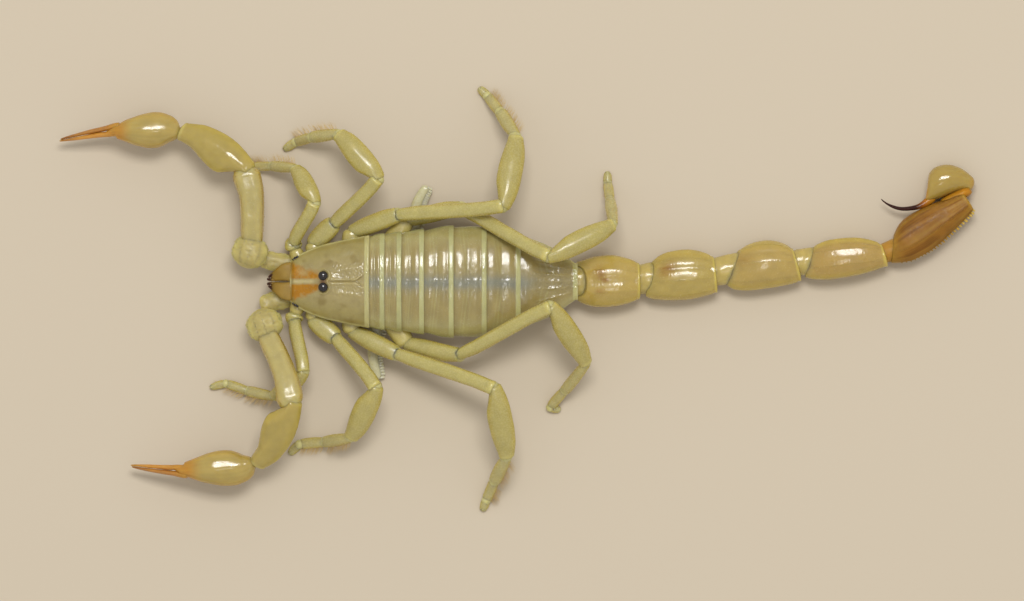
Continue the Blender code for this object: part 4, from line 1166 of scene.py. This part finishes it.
SHIN = ((0.0, 0.6, 0.75, 0.75), (0.12, 0.78, 0.86, 0.88), (0.45, 1.0, 0.96, 1.0), (0.8, 1.0, 1.0, 1.0),
        (0.95, 0.9, 0.92, 0.9), (1.0, 0.8, 0.82, 0.8))
FOOT = ((0.0, 0.74, 0.74, 0.8), (0.14, 0.94, 0.94, 0.95), (0.5, 1.0, 1.0, 1.0), (0.85, 0.94, 0.94, 0.9),
        (1.0, 0.7, 0.7, 0.72))
TOE = ((0.0, 0.8, 0.8, 0.85), (0.14, 0.95, 0.95, 0.95), (0.5, 0.92, 0.92, 0.95), (0.82, 0.72, 0.72, 0.8),
       (1.0, 0.42, 0.42, 0.5))
# The legs' edge colour is partly painted light: light shining through their thin edges.
LEG_PALE, LEG_EDGE_GLOW, LEG_TAN = linear("#afa568", "#b3a352", "#aca062")
LEG_RIM, FOOT_PALE, CLAW_BROWN = linear("#c0b46c", "#aca26e", "#a89359")

leg_cuticle = cuticle("chitin_pale_legs", 0.7, 0.05, 0.24, 0.9, coat=0.15)

edges = keeled(((15, 0.025, 8), (165, 0.025, 8), (90, 0.015, 10)), 0.005, 0.025)
foot_ridge = keeled(((90, 0.012, 12),), 0.004, 0.018)
thigh_tint, knee_tint, foot_tint = (edge_glow_tone(middle, LEG_EDGE_GLOW, LEG_RIM)
                                    for middle in (LEG_PALE, LEG_TAN, FOOT_PALE))
foot_paths = {}
for key, (headings, heights) in STANCE.items():
    pair, word = int(key[0]), key[2:]
    side = 1.0 if word == "right" else -1.0
    (x, y, z), lengths = HIPS[pair], LEG_LENGTHS[pair]
    sizes = LEG_SIZES[pair]
    joints = [Vector((x, side * y, z))]
    for heading, length, height in zip(headings, lengths, heights):
        near = joints[-1]
        run = math.sqrt(length**2 - (height - near.z) ** 2)
        turn = math.radians(heading)
        joints.append(Vector((near.x + run * math.cos(turn), near.y + run * math.sin(turn), height)))

    turn = inside(joints, 2)
    hip = tube("hip", limb_stations(joints, 0, KNEE_BEND, sizes[0], HIP_PIECE, 1.0, 2.6), 36, 36,
               thigh_tint, edges, ends=(0.35, 0.3), lap=(0.25, 0.2))[0]
    thigh, thigh_surface = tube(
        "thigh", limb_stations(joints, 1, KNEE_BEND, sizes[1], THIGH, turn, 2.9), 44, 60,
        thigh_tint, edges, ends=(0.2, 0.2), lap=(0.2, 0.3))
    spots = bead_rows(thigh_surface, (15, 165), 0.08, 0.93, 0.026, 0.12, lengths[1], LEG_RIM)
    thigh = joined(f"leg_{key}_thigh", [hip, thigh, beads("thigh_beads", spots)])
    finish(thigh, leg_cuticle, "limb_shell", f"leg_{key}_femur")

    knee, knee_surface = tube(
        "knee", limb_stations(joints, 2, KNEE_BEND, sizes[2], KNEE, turn, 2.2), 48, 56,
        knee_tint, edges, ends=(0.3, 0.14), lap=(0.32, 0.15))
    spots = bead_rows(knee_surface, (15, 165), 0.1, 0.93, 0.024, 0.12, lengths[2], LEG_RIM)
    knee = joined(f"leg_{key}_knee_piece", [knee, beads("knee_beads", spots)])
    finish(knee, leg_cuticle, "limb_shell", f"leg_{key}_patella")

    parts = []
    foot_paths[key] = []
    for index, shape in ((3, SHIN), (4, FOOT), (5, TOE)):
        stations = limb_stations(joints, index, FOOT_BEND, sizes[index], shape, inside(joints, 3))
        shell, foot_surface = tube("foot", stations, 32, 40, foot_tint, foot_ridge, ends=(0.2, 0.12),
                                   lap=(0.2, 0.0))
        parts.append(shell)
        foot_paths[key].append((foot_surface, lengths[index]))
    toe = joints[-1]
    ahead = (joints[-1] - joints[-2]).normalized()
    across = ahead.cross(UP).normalized()
    for lean in (-1.0, 1.0):
        stations = []
        for share, way, rise, size in ((0.0, -0.3, 0.0, 0.07), (0.5, -0.12, 0.04, 0.05),
                                       (1.0, -0.02, -0.05, 0.02)):
            spot = toe + ahead * way + across * lean * (0.07 + 0.06 * share) + UP * rise
            stations.append(even(share, spot, size, size))
        parts.append(tube("claw", stations, 10, 14, plain(CLAW_BROWN), ends=(0.05, 0.05))[0])
    finish(joined(f"leg_{key}_foot_pieces", parts), leg_cuticle, "limb_shell", f"leg_{key}_foot")

    # Soft skin shows as a pale ball inside each of this leg's joints.
    for index in (1, 2, 3, 4, 5):
        size = min(sizes[index][0], sizes[index - 1][0]) * 0.5
        spot = joints[index] + bend_shift(joints, index, KNEE_BEND if index < 4 else FOOT_BEND)
        spot.z = max(spot.z, size * 0.95)
        ball = dome("joint_ball", spot, size, 16)
        painted(ball.data, [*SKIN_PALE, 1.0] * len(ball.data.vertices))
        skin_parts.append(ball)

finish(joined("soft_skin", skin_parts), soft_skin, "comb_shell")

# --------------------------------------------------------------------------
# Bristles: stiff, hollow hairs of chitin that stand in combs along the feet, where
# they spread the animal's weight on sand.
BRISTLE_SIDES, BRISTLE_STEPS, BRISTLE_RADIUS = 3, 4, 0.014
COMB_PER_MM, STRAY_PER_MM = 30, 8
COMB_REACH, STRAY_REACH = (0.4, 0.8), (0.15, 0.32)

# Hollow golden chitin, drifting between a darker and a paler shade in patches.
bristle_chitin = clouded("golden_bristle_chitin", 0.6, "#a8874c", "#d0b67c",
                         {"Roughness": 0.35, "IOR": 1.55})


def above_floor(point):
    """The place of a point of a hair, which bends where it meets the floor."""
    return FRONT + Vector((point.x, point.y, max(point.z, 0.02))) * MM


def bristles(name, roots):
    """One mesh of curved three-sided hairs: root, direction, bend, length, radius, patch."""
    points, faces, patches = [], [], []
    for root, aim, bend, length, radius, patch in roots:
        first = len(points)
        side = aim.cross(bend if aim.cross(bend).length > 1e-3 else UP).normalized()
        other = aim.cross(side).normalized()
        for step in range(BRISTLE_STEPS):
            way = step / BRISTLE_STEPS
            middle = root + aim * (length * way) + bend * (length * way * way * 0.5)
            for corner in range(BRISTLE_SIDES):
                turn = 2 * math.pi * corner / BRISTLE_SIDES
                out = side * math.cos(turn) + other * math.sin(turn)
                points.append(above_floor(middle + out * radius * (1.0 - 0.8 * way)))
        points.append(above_floor(root + aim * length + bend * (length * 0.5)))
        tip = len(points) - 1
        for step in range(BRISTLE_STEPS - 1):
            for corner in range(BRISTLE_SIDES):
                a = first + step * BRISTLE_SIDES + corner
                b = first + step * BRISTLE_SIDES + (corner + 1) % BRISTLE_SIDES
                faces.append((a, b, b + BRISTLE_SIDES, a + BRISTLE_SIDES))
        last = first + (BRISTLE_STEPS - 1) * BRISTLE_SIDES
        for corner in range(BRISTLE_SIDES):
            faces.append((last + corner, last + (corner + 1) % BRISTLE_SIDES, tip))
        faces.append(tuple(first + corner for corner in reversed(range(BRISTLE_SIDES))))
        patches += [patch] * (BRISTLE_STEPS * BRISTLE_SIDES + 1)
    mesh = bpy.data.meshes.new(name)
    mesh.from_pydata(points, [], faces)
    layer = mesh.uv_layers.new(name="OFBake")
    for loop in mesh.loops:
        turn = loop.vertex_index * 2.4
        u, v = patches[loop.vertex_index]
        layer.data[loop.index].uv = (u + 0.0015 * math.cos(turn), v + 0.0015 * math.sin(turn))
    piece = linked(name, mesh)
    pick(piece)
    turn_out()
    return piece


draw = random.Random(11)
roots = []
for tile, (key, paths) in enumerate(foot_paths.items()):
    for part, (foot_surface, length) in enumerate(paths):
        comb = part < 2 and key[0] in "123"
        count = int(length * (COMB_PER_MM if comb else STRAY_PER_MM))
        for _ in range(count):
            share = draw.uniform(0.08, 0.95)
            outer = 0 if key.endswith("right") else 180
            degrees = outer + draw.gauss(0, 14) if comb else draw.uniform(-30, 210)
            point, out = foot_surface(math.radians(degrees), share)
            ahead = foot_surface(math.radians(degrees), min(share + 0.05, 1.0))[0] - point
            aim = (out + ahead.normalized() * 0.45 + UP * 0.12).normalized()
            reach = draw.uniform(*(COMB_REACH if comb else STRAY_REACH))
            reach *= 1.0 - 0.6 * ease(0.5, 1.0, share) if part == 2 else 1.0
            patch = (0.06 + 0.11 * tile + 0.02 * math.sin(math.radians(degrees)),
                     0.05 + 0.3 * part + 0.27 * share)
            roots.append((point - out * 0.03, aim, ahead.normalized() * 0.35, reach, BRISTLE_RADIUS, patch))
finish(bristles("foot_bristles", roots), bristle_chitin, "comb_shell")

# --------------------------------------------------------------------------
# Stage: a plain pale floor, two small soft lamps above the back, an even pale light
# from all round, and the camera looking straight down.
stage = shaded("plain_pale_floor", {"Base Color": (*linear("#c4b7a2"), 1.0), "Roughness": 0.85})[0]
bpy.ops.object.select_all(action="DESELECT")
bpy.ops.mesh.primitive_plane_add(size=1.6, location=(0.0, 0.0, 0.0))
floor = bpy.context.object
floor.name = "floor"
floor.data.materials.append(stage)


def soft_light(name, towards, distance, width, height, watts):
    """A rectangular light at a distance along a direction, aimed at the animal."""
    lamp = bpy.data.lights.new(name, "AREA")
    lamp.shape = "RECTANGLE"
    lamp.size, lamp.size_y = width, height
    lamp.energy = watts
    rig = linked(name, lamp)
    direction = Vector(towards).normalized()
    rig.location = direction * distance
    rig.rotation_euler = direction.to_track_quat("Z", "Y").to_euler()


soft_light("main_flash", (0.04, 0.36, 1.0), 0.5, 0.2, 0.13, 1.35)
soft_light("second_flash", (0.03, -0.14, 1.0), 0.5, 0.09, 0.06, 0.1)

studio = bpy.data.worlds.new("studio")
studio.use_nodes = True
bpy.context.scene.world = studio
glow = studio.node_tree.nodes["Background"]
glow.inputs["Color"].default_value = (1.0, 0.98, 0.95, 1.0)
glow.inputs["Strength"].default_value = 0.65

VIEW_WIDTH = 78.3 * MM  # how much of the floor's width the picture takes in
VIEW_CENTRE = (16.98, -1.45, 2.0)
CAMERA_DISTANCE = 0.9
lens = bpy.data.cameras.new("camera")
lens.sensor_width = 36.0
lens.lens = lens.sensor_width * CAMERA_DISTANCE / VIEW_WIDTH
lens.clip_start, lens.clip_end = 0.01, 10.0
camera = linked("camera", lens)
camera.location = FRONT + Vector(VIEW_CENTRE) * MM + UP * CAMERA_DISTANCE
bpy.context.scene.camera = camera
bpy.context.scene.view_settings.view_transform = "Standard"
